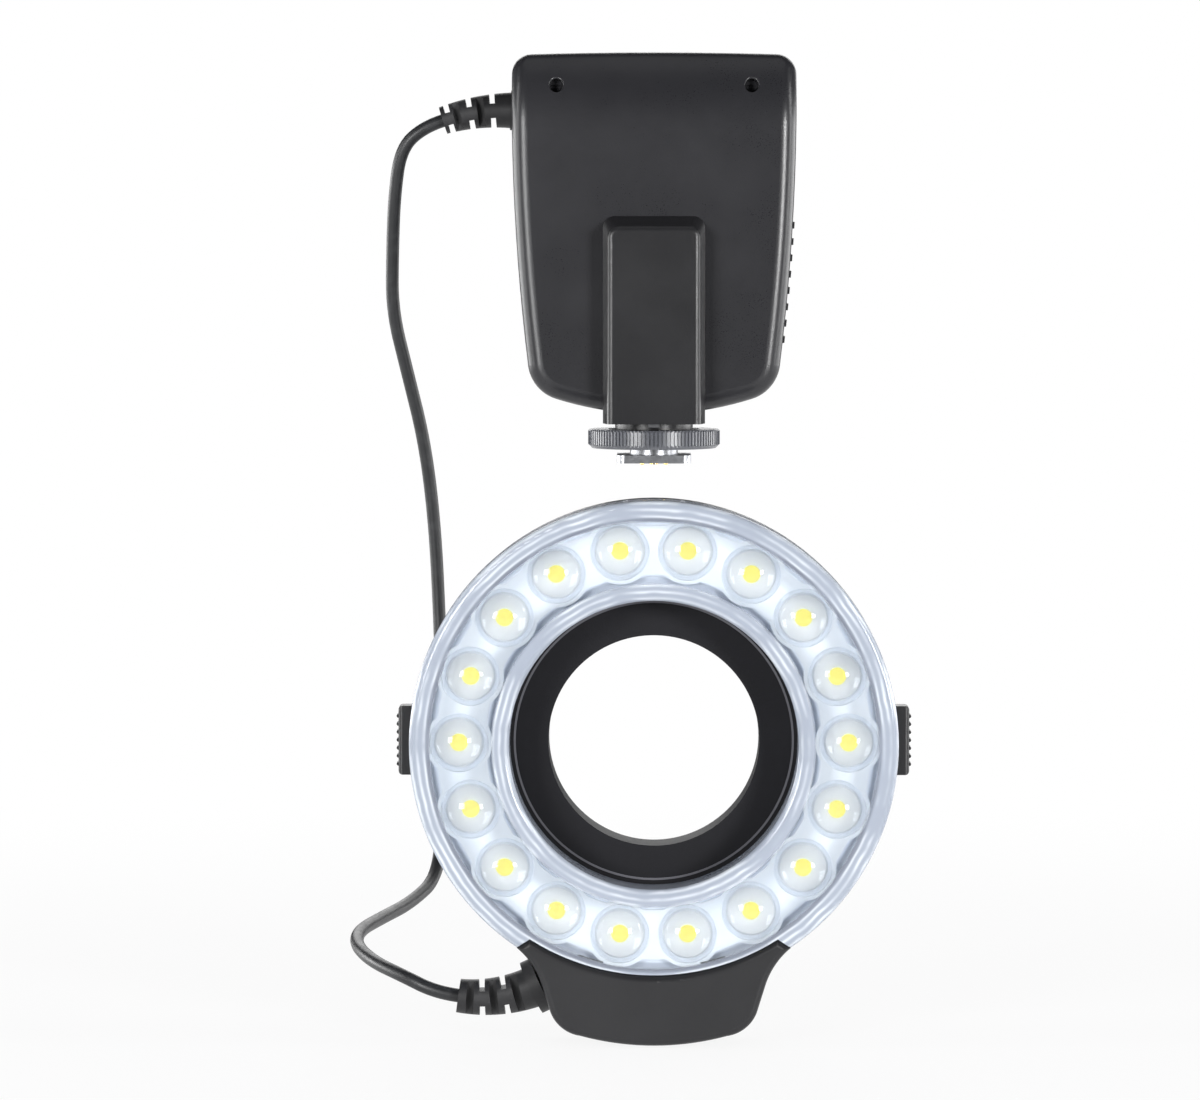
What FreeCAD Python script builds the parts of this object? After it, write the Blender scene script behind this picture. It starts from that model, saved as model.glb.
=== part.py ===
import FreeCAD, Part

import math
import os

# Macro ring light with a shoe-mounted controller, in millimetres.
# Frame: origin at the centre of the underside of the shoe foot, +Z up, the lit face looks along -Y.
# The ring head stands in front of and below the foot, round an axis parallel to Y.

V = FreeCAD.Vector
AXIS_X = V(1, 0, 0)
AXIS_Y = V(0, 1, 0)
AXIS_Z = V(0, 0, 1)
HALF_TURN = 180.0
FULL_TURN = 360.0

# Battery cells, which set the case's size: they lie across it, one above another, behind the side door
CELL_RADIUS = 7.2
CELL_LENGTH = 50.5
CELL_COUNT = 4
CELL_GAP = 0.7
CELL_PITCH = 2 * CELL_RADIUS + CELL_GAP
CELL_FIRST_RISE = 22.5
CELL_TOP_ROOM = 22.7
CELL_DOOR_ROOM = 7.5
CELL_FAR_ROOM = 13.2

# Controller case
CASE_HALF_WIDTH = (CELL_FAR_ROOM + CELL_LENGTH + CELL_DOOR_ROOM) / 2
CASE_HEIGHT = CELL_FIRST_RISE + (CELL_COUNT - 1) * CELL_PITCH + CELL_TOP_ROOM
CASE_BOTTOM_Z = 12.5
CASE_TOP_Z = CASE_BOTTOM_Z + CASE_HEIGHT
CASE_FRONT_Y = -16.0
CASE_DEPTH = 36.0
CASE_REAR_Y = CASE_FRONT_Y + CASE_DEPTH
CASE_WALL = 2.0
CASE_SPLIT_DEPTH = 8.0
CASE_SPLIT_Y = CASE_FRONT_Y + CASE_SPLIT_DEPTH
CASE_CROWN_RADIUS = 1000.0
CASE_CORNER_RADIUS = 5.0
CASE_SIDE_STRAIGHT = 5.7
CASE_KNEE_RADIUS = 10.0
CASE_FLOOR_DRAW_IN = 11.0
CASE_FLOOR_HALF_WIDTH = CASE_HALF_WIDTH - CASE_FLOOR_DRAW_IN
CASE_FLOOR_RISE = 3.8
CASE_SHOULDER_DROP = 19.0
CASE_BROW_RADIUS = 27.8
CASE_FRONT_ROUND = 4.0
CASE_REAR_ROUND = 4.0
CASE_INNER_FRONT_ROUND = 0.6
CASE_INNER_REAR_ROUND = 2.0

# Case screws and their posts
CASE_SCREW_INSET = 11.2
CASE_SCREW_X = CASE_HALF_WIDTH - CASE_SCREW_INSET
CASE_SCREW_DROP = 8.5
CASE_SCREW_Z = CASE_TOP_Z - CASE_SCREW_DROP
SCREW_WELL_RADIUS = 1.65
SCREW_WELL_RIM = 0.4
SCREW_WELL_FLOOR = 6.0
SCREW_HEAD_RADIUS = 1.4
SCREW_HEAD_HEIGHT = 1.3
SCREW_SHANK_RADIUS = 0.8
SCREW_SHANK_LENGTH = 9.0
SCREW_POST_RADIUS = 2.9
SCREW_SLOT_WIDTH = 0.45
SCREW_SLOT_DEPTH = 0.6
SHANK_CLEARANCE = 0.1

# Battery tray and the cells in it
CELL_NUB_RADIUS = 2.6
CELL_NUB_LENGTH = 1.2
CELL_BORE_CLEARANCE = 0.15
CELL_FIRST_Z = CASE_BOTTOM_Z + CELL_FIRST_RISE
CELL_RIGHT_X = CASE_HALF_WIDTH - CELL_DOOR_ROOM
CELL_Y = 1.5
TRAY_WALL = 0.75
TRAY_END_GAP = 3.6
TRAY_END_WALL = 1.2
TRAY_MOUTH_LIP = 0.4

# Battery door
DOOR_TOP_DROP = 11.0
DOOR_BOTTOM_RISE = 10.1
DOOR_FRONT_Y = -6.5
DOOR_WIDTH = 19.0
DOOR_GAP = 0.25
DOOR_REACH_IN = 9.8
DOOR_INNER_X = CASE_HALF_WIDTH - DOOR_REACH_IN
DOOR_SLIDE = 3.0
DOOR_RIB_COUNT = 8
DOOR_RIB_PITCH = 4.1
DOOR_RIB_FIRST_RISE = 18.5
DOOR_RIB_FIRST_Z = CASE_BOTTOM_Z + DOOR_RIB_FIRST_RISE
DOOR_RIB_HEIGHT = 1.7
DOOR_RIB_PROUD = 0.6
DOOR_PIVOT_INSET = 6.7
DOOR_PIVOT_X = CASE_HALF_WIDTH - DOOR_PIVOT_INSET
DOOR_PIVOT_RISE = 12.1
DOOR_PIVOT_Z = CASE_BOTTOM_Z + DOOR_PIVOT_RISE
HINGE_PIN_RADIUS = 0.75
HINGE_RUNNING = 0.05
KNUCKLE_RADIUS = 1.7
KNUCKLE_LENGTH = 4.0
KNUCKLE_GAP = 0.2
LINK_PLAY = 0.05
EAR_FRONT_Y = CASE_SPLIT_Y
EAR_THICKNESS = 1.5
EAR_MARGIN = 1.3
CONTACT_THICKNESS = 0.5
DOOR_CONTACT_GAP = 0.35
DOOR_CONTACT_X = CELL_RIGHT_X + CELL_NUB_LENGTH + DOOR_CONTACT_GAP
DOOR_RIB_INNER_THICKNESS = 1.2

# Boards and what they carry
BOARD_THICKNESS = 1.6
CONTROL_BOARD_Y = 12.0
CONTROL_BOARD_SIDE_ROOM = 7.1
CONTROL_BOARD_HALF_WIDTH = CASE_HALF_WIDTH - CONTROL_BOARD_SIDE_ROOM
CONTROL_BOARD_RISE = 15.5
CONTROL_BOARD_BOTTOM_Z = CASE_BOTTOM_Z + CONTROL_BOARD_RISE
CONTROL_BOARD_TOP_ROOM = 12.0
CONTROL_BOARD_HEIGHT = CASE_HEIGHT - CONTROL_BOARD_RISE - CONTROL_BOARD_TOP_ROOM
DRIVER_BOARD_Y = -12.0
DRIVER_BOARD_SIDE_ROOM = 9.6
DRIVER_BOARD_HALF_WIDTH = CASE_HALF_WIDTH - DRIVER_BOARD_SIDE_ROOM
DRIVER_BOARD_RISE = 10.0
DRIVER_BOARD_BOTTOM_Z = CASE_BOTTOM_Z + DRIVER_BOARD_RISE
DRIVER_BOARD_TOP_ROOM = 23.5
DRIVER_BOARD_HEIGHT = CASE_HEIGHT - DRIVER_BOARD_RISE - DRIVER_BOARD_TOP_ROOM
BOARD_POST_RADIUS = 2.0
SPACER_BELOW_FIRST_CELL = 3.0
SPACER_ABOVE_LAST_CELL = 6.7
CHOKE_RADIUS = 5.0
CHOKE_HEIGHT = 3.0
CHOKE_X = 14.0
CAPACITOR_RADIUS = 4.5
CAPACITOR_LENGTH = 18.0
CAPACITOR_GAP = 2.0
CAPACITOR_SEAT = 0.2

# Display, buttons and pilot lamp on the rear wall
WINDOW_WIDTH = 42.0
WINDOW_HEIGHT = 28.0
WINDOW_THICKNESS = 1.2
WINDOW_LEDGE = 2.0
WINDOW_CLEARANCE = 0.1
WINDOW_DROP = 33.0
WINDOW_Z = CASE_TOP_Z - WINDOW_DROP
DISPLAY_WIDTH = 40.0
DISPLAY_HEIGHT = 27.0
DISPLAY_GAP = 0.3
BUTTON_RADIUS = 3.6
BUTTON_FLANGE = 0.8
BUTTON_FLANGE_THICKNESS = 1.2
BUTTON_PROUD = 1.0
BUTTON_CLEARANCE = 0.12
BUTTON_FLANGE_GAP = 0.2
BUTTON_TRAVEL = 0.6
BUTTON_PITCH_X = 16.0
BUTTON_PITCH_Z = 12.0
BUTTON_ROW_RISE = 19.0
BUTTON_ROW_Z = CASE_BOTTOM_Z + BUTTON_ROW_RISE
BUTTON_MAT_THICKNESS = 0.8
BUTTON_DOME_RADIUS = 2.6
BUTTON_DOME_GAP = 0.1
PILOT_RADIUS = 1.2
PILOT_CLEARANCE = 0.05
PILOT_X = 26.0

# Bracket that carries the controller above the shoe
BRACKET_HALF_WIDTH = 12.75
BRACKET_SIDE_DRAFT = 1.25
BRACKET_TOP_RISE = 49.5
BRACKET_TOP_DRAFT = 2.7
BRACKET_PROUD = 7.5
BRACKET_FRONT_Y = CASE_FRONT_Y - BRACKET_PROUD
BRACKET_CORNER_ROUND = 3.0
BRACKET_ROUND = 1.5
BRACKET_WALL = 2.4
BRACKET_BOTTOM_Z = 10.3
BRACKET_ARM_RADIUS = 12.0
BRACKET_POST_RADIUS = 2.4
BRACKET_SCREW_X = 6.4
BRACKET_SCREW_RISES = (12.0, 40.0)
BRACKET_SCREW_LENGTH = 3.4

# Shoe foot, to the common accessory shoe standard
FOOT_WIDTH = 18.6
FOOT_LENGTH = 19.0
FOOT_THICKNESS = 2.0
FOOT_CORNER = 2.0
POST_RADIUS = 6.0
POST_SEAT_CLEARANCE = 0.05
CORE_RADIUS = 4.8
COLLAR_RADIUS = 9.8
COLLAR_THICKNESS = 1.9
COLLAR_BOTTOM_Z = BRACKET_BOTTOM_Z - COLLAR_THICKNESS
KEY_WIDTH = 2.9
KEY_HEIGHT = 1.2
KEY_PROUD = 1.4
KEY_DEPTH = 3.2
FOOT_SCREW_X = 8.0
FOOT_SCREW_RADIUS = 0.7
FOOT_SCREW_HEAD_RADIUS = 1.2
FOOT_SCREW_HEAD_HEIGHT = 0.8
FOOT_SCREW_LENGTH = 3.6
CENTRE_PIN_RADIUS = 1.1
SIDE_PIN_RADIUS = 0.55
PIN_PROUD = 0.6
PIN_LENGTH = 6.6
PIN_RUNNING = 0.05
PIN_CAVITY_TOP = 6.9
SIDE_PIN_X = 3.0
SIDE_PIN_Y = 2.2

# Lock wheel and clamp plate
WHEEL_RADIUS = 16.6
WHEEL_BOTTOM_Z = 3.6
WHEEL_TOP_Z = COLLAR_BOTTOM_Z
WHEEL_CHAMFER = 1.0
WHEEL_TOP_CHAMFER = 0.4
WHEEL_GROOVES = 104
WHEEL_GROOVE_WIDTH = 0.45
WHEEL_GROOVE_DEPTH = 0.3
WHEEL_RUNNING = 0.08
WHEEL_TOP_RECESS = 1.5
WHEEL_RECESS_CLEARANCE = 0.3
CLAMP_RADIUS = 13.0
CLAMP_BOTTOM_Z = 3.5
CLAMP_THICKNESS = 1.2
CLAMP_SIDE_GAP = 0.2

# Ring head
RING_DROP = 62.0
RING_AXIS = V(0, 0, -RING_DROP)
RING_FRONT_Y = -112.0
THREAD_RADIUS = 26.0
THREAD_LENGTH = 4.0
ADAPTER_WALL = 5.0
ADAPTER_HUB_RADIUS = THREAD_RADIUS + ADAPTER_WALL
ADAPTER_HUB_STEP = 5.2
ADAPTER_FLANGE_RADIUS = ADAPTER_HUB_RADIUS + ADAPTER_HUB_STEP
ADAPTER_FLANGE_LAP = 2.2
COVER_INNER_RADIUS = ADAPTER_FLANGE_RADIUS - ADAPTER_FLANGE_LAP
LENS_RADIUS = 6.9
LENS_INNER_ROOM = 5.1
LENS_OUTER_ROOM = 4.3
LED_CIRCLE_RADIUS = COVER_INNER_RADIUS + LENS_INNER_ROOM + LENS_RADIUS
HOUSING_RADIUS = LED_CIRCLE_RADIUS + LENS_RADIUS + LENS_OUTER_ROOM
COVER_OVERHANG = 0.3
COVER_OUTER_RADIUS = HOUSING_RADIUS + COVER_OVERHANG
COVER_PLATE = 1.4
COVER_WALL = 1.5
COVER_DEPTH = 12.5
COVER_ROUND = 1.5
COVER_REAR_Y = RING_FRONT_Y + COVER_DEPTH
HOUSING_WALL = 1.8
HOUSING_DEPTH = 9.5
HOUSING_REAR_Y = COVER_REAR_Y + HOUSING_DEPTH
BACK_COVER_THICKNESS = 2.0
BACK_COVER_HOLE_GAP = 0.6
DECK_THICKNESS = 1.9
LIP_SETBACK = 0.2
LIP_INNER_RADIUS = COVER_INNER_RADIUS + LIP_SETBACK

# Light sources on the ring
LED_COUNT = 18
LED_BOARD_INSET = 1.8
LED_BOARD_EDGE = 1.6
LED_BOARD_INNER_RADIUS = COVER_INNER_RADIUS + LED_BOARD_INSET
LED_BOARD_OUTER_RADIUS = HOUSING_RADIUS - LED_BOARD_EDGE
EMITTER_RADIUS = 4.4
EMITTER_HEIGHT = 0.8
PHOSPHOR_RADIUS = 1.6
PHOSPHOR_HEIGHT = 0.4
LENS_FLANGE = 0.8
LENS_DOME = 4.4
TRAY_THICKNESS = 1.0
TRAY_SCALLOP_RIM = 1.0
TRAY_SCALLOP_RADIUS = LENS_RADIUS + TRAY_SCALLOP_RIM
TRAY_BAND_INWARD = 6.4
TRAY_BAND_OUTWARD = 5.4
TRAY_BAND_INNER_RADIUS = LED_CIRCLE_RADIUS - TRAY_BAND_INWARD
TRAY_BAND_OUTER_RADIUS = LED_CIRCLE_RADIUS + TRAY_BAND_OUTWARD
TRAY_LENS_CLEARANCE = 0.1
TRAY_POST_RADIUS = 1.1
TRAY_POST_COUNT = 6

# Adapter ring: male filter thread behind, flange that the head's hooks hold
THREAD_WALL = 1.0
ADAPTER_BORE_RADIUS = THREAD_RADIUS - THREAD_WALL
ADAPTER_FLANGE_THICKNESS = 2.5
ADAPTER_FRONT_GAP = 0.3
ADAPTER_SIDE_GAP = 0.3
ADAPTER_HUB_PROUD = 0.6
ADAPTER_LINE_INSETS = (3.0, 1.2)
ADAPTER_LINE_WIDTH = 0.5
ADAPTER_LINE_DEPTH = 0.25

# Release buttons, latch slides and their springs
RELEASE_HEIGHT = 16.4
RELEASE_PROUD = 3.8
RELEASE_REACH = HOUSING_RADIUS + RELEASE_PROUD
RELEASE_DEPTH = 6.4
RELEASE_GAP = 0.2
RELEASE_FLANGE = 1.3
RELEASE_FLANGE_THICKNESS = 1.6
RELEASE_FLANGE_SETBACK = 4.6
RELEASE_FLANGE_X = HOUSING_RADIUS - RELEASE_FLANGE_SETBACK
RELEASE_RIB_COUNT = 7
RELEASE_RIB_PITCH = 1.9
RELEASE_RIB_RADIUS = 0.45
RELEASE_CORNER = 1.0
LATCH_THICKNESS = 2.4
LATCH_CLEARANCE = 2.4
LATCH_BAND = 3.4
LATCH_INNER_RADIUS = ADAPTER_FLANGE_RADIUS + LATCH_CLEARANCE
LATCH_OUTER_RADIUS = LATCH_INNER_RADIUS + LATCH_BAND
LATCH_FLANGE_GAP = 0.3
LATCH_PAD_GAP = 0.1
LATCH_PAD_ANGLES = (45.0, 135.0, 225.0, 315.0)
LATCH_PAD_RADIUS = 1.6
LATCH_WALL = 1.7
HOOK_LAP = 1.3
HOOK_TIP_RADIUS = ADAPTER_FLANGE_RADIUS - HOOK_LAP
HOOK_NEAR_Z = 0.7
HOOK_FAR_Z = 9.5
STEM_NEAR_Z = 1.0
STEM_FAR_Z = 7.4
SPRING_THICKNESS = 0.35
SPRING_POST_GAP = 3.4
SPRING_POST_THICKNESS = 1.3
SPRING_NEAR_Z = 1.6
SPRING_SEAT_GAP = 0.1

# Chin below the ring: its upper tips touch the cover's rim, and its other places are given from a tip
CHIN_TIP_ANGLE = -55.98
CHIN_TIP_OUTWARD = 0.05
CHIN_TIP_RADIUS = COVER_OUTER_RADIUS + CHIN_TIP_OUTWARD
CHIN_TIP_X = CHIN_TIP_RADIUS * math.cos(math.radians(CHIN_TIP_ANGLE))
CHIN_TIP_Z = CHIN_TIP_RADIUS * math.sin(math.radians(CHIN_TIP_ANGLE))
CHIN_FLARE_IN = 3.8
CHIN_FLARE_DROP = 4.3
CHIN_NECK_IN = 6.0
CHIN_NECK_DROP = 9.1
CHIN_WAIST_IN = 7.9
CHIN_WAIST_DROP = 15.2
CHIN_CORNER_IN = 14.9
CHIN_CORNER_DROP = 20.8
CHIN_CORNER_MID_IN = 9.8
CHIN_CORNER_MID_DROP = 18.2
CHIN_BOTTOM_DROP = 23.1
CHIN_BOTTOM_Z = CHIN_TIP_Z - CHIN_BOTTOM_DROP
CHIN_LIP_INSET = 3.0
CHIN_LIP_RADIUS = HOUSING_RADIUS - CHIN_LIP_INSET
CHIN_HUMP_ANGLE = -57.5
CHIN_ROOT_INSET = 7.2
CHIN_ROOT_RADIUS = HOUSING_RADIUS - CHIN_ROOT_INSET
CHIN_PROUD = 0.6
CHIN_FRONT_Y = RING_FRONT_Y - CHIN_PROUD
CHIN_ROUND = 1.5
CHIN_WALL = 1.8
CHIN_GAP = 0.15
CHIN_POST_X = 12.0
CHIN_POST_RISE = 8.3
CHIN_POST_Z = CHIN_BOTTOM_Z + CHIN_POST_RISE
RING_SCREW_RADIUS = 1.0
RING_SCREW_HEAD_RADIUS = 1.8
RING_SCREW_HEAD_HEIGHT = 1.2
RING_SCREW_LENGTH = 5.0
RING_SCREW_INSET = 6.7
RING_SCREW_CIRCLE_RADIUS = HOUSING_RADIUS - RING_SCREW_INSET
RING_SCREW_ANGLES = (40.0, 140.0, 222.0, 318.0)
RING_POST_RADIUS = 2.6

# Strain reliefs and the cord between them
CORD_DIAMETER = 3.3
CONTROLLER_EXIT = V(0.4, 4.0, -14.4)
RING_EXIT = V(5.6, -0.5, -9.8)
RELIEF_ROOTS = {
    "controller": V(-CASE_HALF_WIDTH, 0, CASE_TOP_Z) + CONTROLLER_EXIT,
    "ring": V(-CHIN_TIP_X, COVER_REAR_Y, RING_AXIS.z + CHIN_TIP_Z) + RING_EXIT,
}
RELIEF_LENGTHS = {"controller": 18.3, "ring": 20.1}
RELIEF_ROOT_RADII = {"controller": 4.55, "ring": 5.0}
RELIEF_TIP_RADII = {"controller": 3.5, "ring": 4.0}
RELIEF_START_DROOPS = {"controller": -2.0, "ring": 25.0}
RELIEF_END_DROOPS = {"controller": 18.0, "ring": -8.0}
RELIEF_FLANGE_LENGTHS = {"controller": 1.0, "ring": 2.6}
RELIEF_FLANGE_RADII = {"controller": 5.0, "ring": 6.5}
RELIEF_SECTIONS = 6
RELIEF_NOTCH_WIDTH = 1.4
RELIEF_BAND_WIDTH = 1.8
RELIEF_NOTCH_SHARE = 0.58
RELIEF_NOTCH_PLACES = {"controller": (0.3, 0.61, 0.91), "ring": (0.45, 0.72)}
RELIEF_BAND_PLACES = {"controller": (0.46, 0.79), "ring": (0.3, 0.58, 0.86)}
RELIEF_INNER_LENGTH = 3.0
RELIEF_NECK_RADIUS = 3.2
RELIEF_NECK_SEAT = 1.0
RELIEF_HOLE_CLEARANCE = 0.05

# The cord's route between the strain reliefs, chosen by hand: it leaves each relief straight, for the
# length of its stub, hangs behind the shoe and comes forward below it. The upper places are given from
# the case's top left, and the lower ones from the ring's axis.
CORD_STUBS = {"controller": 5.2, "ring": 5.4}
CORD_UPPER = (
    (-28.4, 5.2, -24.0),
    (-30.2, 8.6, -36.0),
    (-30.9, 13.4, -49.5),
    (-31.3, 18.6, -65.0),
    (-27.6, 23.5, -81.0),
    (-23.4, 28.6, -99.0),
)
CORD_LOWER = (
    (-56.6, 33.0, 45.0),
    (-55.4, 35.5, 19.0),
    (-54.8, 34.0, -7.0),
    (-54.6, 27.0, -28.5),
    (-55.0, 14.0, -44.8),
    (-61.4, -6.0, -49.3),
    (-68.0, -27.0, -50.7),
    (-72.6, -48.0, -51.4),
    (-72.2, -67.0, -52.6),
    (-67.2, -85.0, -54.3),
    (-59.6, -97.0, -56.1),
)
CORD_ARC_SHARE = 0.45


# Small shape helpers

def box(x_range, y_range, z_range):
    """A block between the given limits."""
    size_x = x_range[1] - x_range[0]
    size_y = y_range[1] - y_range[0]
    size_z = z_range[1] - z_range[0]
    return Part.makeBox(size_x, size_y, size_z, V(x_range[0], y_range[0], z_range[0]))


def rod_y(x, z, y_start, y_end, radius):
    """A round bar parallel to Y."""
    return Part.makeCylinder(radius, y_end - y_start, V(x, y_start, z), AXIS_Y)


def rod_z(x, y, z_start, z_end, radius):
    """A round bar parallel to Z."""
    return Part.makeCylinder(radius, z_end - z_start, V(x, y, z_start), AXIS_Z)


def rod_x(y, z, x_start, x_end, radius):
    """A round bar parallel to X."""
    return Part.makeCylinder(radius, x_end - x_start, V(x_start, y, z), AXIS_X)


def tube_z(y_place, z_start, z_end, inner, outer):
    """A plain sleeve round the foot's axis."""
    return rod_z(0, y_place, z_start, z_end, outer).cut(rod_z(0, y_place, z_start, z_end, inner))


def on_ring(radius, angle):
    """The X and Z of a point on the ring head, angle in degrees from +X towards +Z."""
    turn = math.radians(angle)
    return RING_AXIS.x + radius * math.cos(turn), RING_AXIS.z + radius * math.sin(turn)


def ring_band(inner, outer, y_start, y_end):
    """A flat annulus round the ring head's axis."""
    disc = rod_y(RING_AXIS.x, RING_AXIS.z, y_start, y_end, outer)
    return disc.cut(rod_y(RING_AXIS.x, RING_AXIS.z, y_start, y_end, inner))


def turned(profile):
    """A solid of revolution round the ring head's axis, from (radius, y) corners."""
    corners = [V(RING_AXIS.x + radius, y, RING_AXIS.z) for radius, y in profile]
    face = Part.Face(Part.makePolygon(corners + corners[:1]))
    return face.revolve(RING_AXIS, AXIS_Y, FULL_TURN)


def outline_xz(start, steps, y):
    """A closed face in an XZ plane: each step is a line to (x, z) or an arc through one point to another."""
    edges = []
    here = V(start[0], y, start[1])
    for step in steps:
        there = V(step[-2], y, step[-1])
        if len(step) == 4:
            edges.append(Part.Arc(here, V(step[0], y, step[1]), there).toShape())
        else:
            edges.append(Part.LineSegment(here, there).toShape())
        here = there
    return Part.Face(Part.Wire(edges))


def joined(shapes):
    """One shape from several that touch or overlap."""
    return shapes[0].multiFuse(shapes[1:]).removeSplitter() if len(shapes) > 1 else shapes[0]


def group(shapes):
    """Separate solids kept together in one node."""
    solids = []
    for shape in shapes:
        solids.extend(shape.Solids)
    return Part.Compound(solids)


def edges_on_plane(shape, axis_name, value):
    """The edges that lie wholly in one plane square to an axis."""
    found = []
    for edge in shape.Edges:
        bounds = edge.BoundBox
        low = getattr(bounds, axis_name + "Min")
        high = getattr(bounds, axis_name + "Max")
        if abs(low - value) < 1e-4 and abs(high - value) < 1e-4:
            found.append(edge)
    return found


NODES = {}


def keep(name, shape):
    """Remember a finished sub-part and check that it is sound."""
    if not shape.isValid():
        print("not valid:", name)
    NODES[name] = shape
    return shape


# Controller case

def walk(start, heading, steps):
    """Edges of a smooth path in the plane y=0. A step is (length, None) or (turn in degrees, radius)."""
    edges = []
    here = V(start[0], 0, start[1])
    angle = math.radians(heading)
    for amount, radius in steps:
        if radius is None:
            there = here + V(math.cos(angle), 0, math.sin(angle)) * amount
            edges.append(Part.LineSegment(here, there).toShape())
        else:
            turn = math.radians(amount)
            centre = here + V(-math.sin(angle), 0, math.cos(angle)) * radius
            middle = centre + V(math.sin(angle + turn / 2), 0, -math.cos(angle + turn / 2)) * radius
            there = centre + V(math.sin(angle + turn), 0, -math.cos(angle + turn)) * radius
            edges.append(Part.Arc(here, middle, there).toShape())
            angle += turn
        here = there
    return edges


def case_outline(inset):
    """The case seen from the front: sagging floor, round knees, bowed flanks, crowned top."""
    floor_radius = (CASE_FLOOR_HALF_WIDTH ** 2 + CASE_FLOOR_RISE ** 2) / (2 * CASE_FLOOR_RISE)
    floor_turn = math.degrees(math.asin(CASE_FLOOR_HALF_WIDTH / floor_radius))
    reach = (CASE_HALF_WIDTH - CASE_CORNER_RADIUS) / (CASE_CROWN_RADIUS - CASE_CORNER_RADIUS)
    crown_turn = math.degrees(math.asin(reach))
    drop = (CASE_CROWN_RADIUS - CASE_CORNER_RADIUS) * (1 - math.cos(math.asin(reach)))
    corner_z = CASE_TOP_Z - CASE_CORNER_RADIUS - drop
    across = CASE_HALF_WIDTH - CASE_FLOOR_HALF_WIDTH + CASE_KNEE_RADIUS * math.sin(math.radians(floor_turn))
    knee_z = CASE_BOTTOM_Z + CASE_FLOOR_RISE + CASE_KNEE_RADIUS * math.cos(math.radians(floor_turn))
    up = corner_z - CASE_SIDE_STRAIGHT - knee_z
    flank_radius = (across ** 2 + up ** 2 - CASE_KNEE_RADIUS ** 2) / (2 * (across - CASE_KNEE_RADIUS))
    flank_turn = math.degrees(math.asin(up / (flank_radius - CASE_KNEE_RADIUS)))
    steps = [
        (floor_turn, floor_radius - inset),
        (90 - floor_turn - flank_turn, CASE_KNEE_RADIUS - inset),
        (flank_turn, flank_radius - inset),
        (CASE_SIDE_STRAIGHT, None),
        (90 - crown_turn, CASE_CORNER_RADIUS - inset),
        (crown_turn, CASE_CROWN_RADIUS - inset),
    ]
    half = walk((0.0, CASE_BOTTOM_Z + inset), 0.0, steps)
    other = [edge.mirror(V(0, 0, 0), AXIS_X) for edge in half]
    return Part.Face(Part.Wire(Part.__sortEdges__(half + other)))


def case_block(inset, front_round, rear_round):
    """The case as a filled block, drawn in on every side by inset, its front leaning back above the brow."""
    y_front = CASE_FRONT_Y + inset
    y_rear = CASE_REAR_Y - inset
    plan = case_outline(inset)
    plan.translate(V(0, y_front, 0))
    prism = plan.extrude(V(0, y_rear - y_front, 0))
    reach = CASE_HALF_WIDTH + CASE_WALL
    brow_z = CASE_TOP_Z - CASE_SHOULDER_DROP
    radius = CASE_BROW_RADIUS - inset
    lean_back = math.asin((CASE_SHOULDER_DROP + CASE_WALL) / radius)
    start = V(-reach, y_front, CASE_BOTTOM_Z - CASE_WALL)
    brow = V(-reach, y_front, brow_z)
    sagitta_y = radius * (1 - math.cos(lean_back / 2))
    middle = V(-reach, y_front + sagitta_y, brow_z + radius * math.sin(lean_back / 2))
    crest = V(-reach, y_front + radius * (1 - math.cos(lean_back)), brow_z + radius * math.sin(lean_back))
    top_rear = V(-reach, y_rear + CASE_WALL, crest.z)
    low_rear = V(-reach, y_rear + CASE_WALL, start.z)
    edges = [
        Part.LineSegment(start, brow).toShape(),
        Part.Arc(brow, middle, crest).toShape(),
        Part.LineSegment(crest, top_rear).toShape(),
        Part.LineSegment(top_rear, low_rear).toShape(),
        Part.LineSegment(low_rear, start).toShape(),
    ]
    side = Part.Face(Part.Wire(edges)).extrude(V(2 * reach, 0, 0))
    block = prism.common(side)
    block = block.makeFillet(rear_round, edges_on_plane(block, "Y", y_rear))
    return block.makeFillet(front_round, front_frame(block, y_front, radius))


def front_frame(block, y_front, brow_radius):
    """The edges round the case's front face and brow, without the line where the two meet."""
    found = []
    seen = []
    for face in block.Faces:
        flat = face.Surface.TypeId == "Part::GeomPlane" and abs(face.BoundBox.YMax - y_front) < 1e-4
        curved = face.Surface.TypeId == "Part::GeomCylinder" and abs(face.Surface.Radius - brow_radius) < 1e-4
        if flat or curved:
            seen.append(face)
    for index, face in enumerate(seen):
        others = [edge for other in seen[:index] + seen[index + 1:] for edge in other.Edges]
        for edge in face.Edges:
            if not any(edge.isSame(twin) for twin in others):
                found.append(edge)
    return found


CASE_SOLID = case_block(0.0, CASE_FRONT_ROUND, CASE_REAR_ROUND)
CASE_HOLLOW = case_block(CASE_WALL, CASE_INNER_FRONT_ROUND, CASE_INNER_REAR_ROUND)
CASE_SKIN = CASE_SOLID.cut(CASE_HOLLOW)
CASE_REACH = CASE_HALF_WIDTH + CASE_WALL
CASE_LOW_Z = CASE_BOTTOM_Z - CASE_WALL
CASE_HIGH_Z = CASE_TOP_Z + CASE_WALL
DOOR_TOP_Z = CASE_TOP_Z - DOOR_TOP_DROP
DOOR_BOTTOM_Z = CASE_BOTTOM_Z + DOOR_BOTTOM_RISE
DOOR_REAR_Y = DOOR_FRONT_Y + DOOR_WIDTH
INNER_FRONT_Y = CASE_FRONT_Y + CASE_WALL
INNER_REAR_Y = CASE_REAR_Y - CASE_WALL
CELL_LEFT_X = CELL_RIGHT_X - CELL_LENGTH
CELL_HEIGHTS = [CELL_FIRST_Z + index * CELL_PITCH for index in range(CELL_COUNT)]
CELL_BORE = CELL_RADIUS + CELL_BORE_CLEARANCE
TRAY_HALF_DEPTH = CELL_BORE + TRAY_WALL
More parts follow.
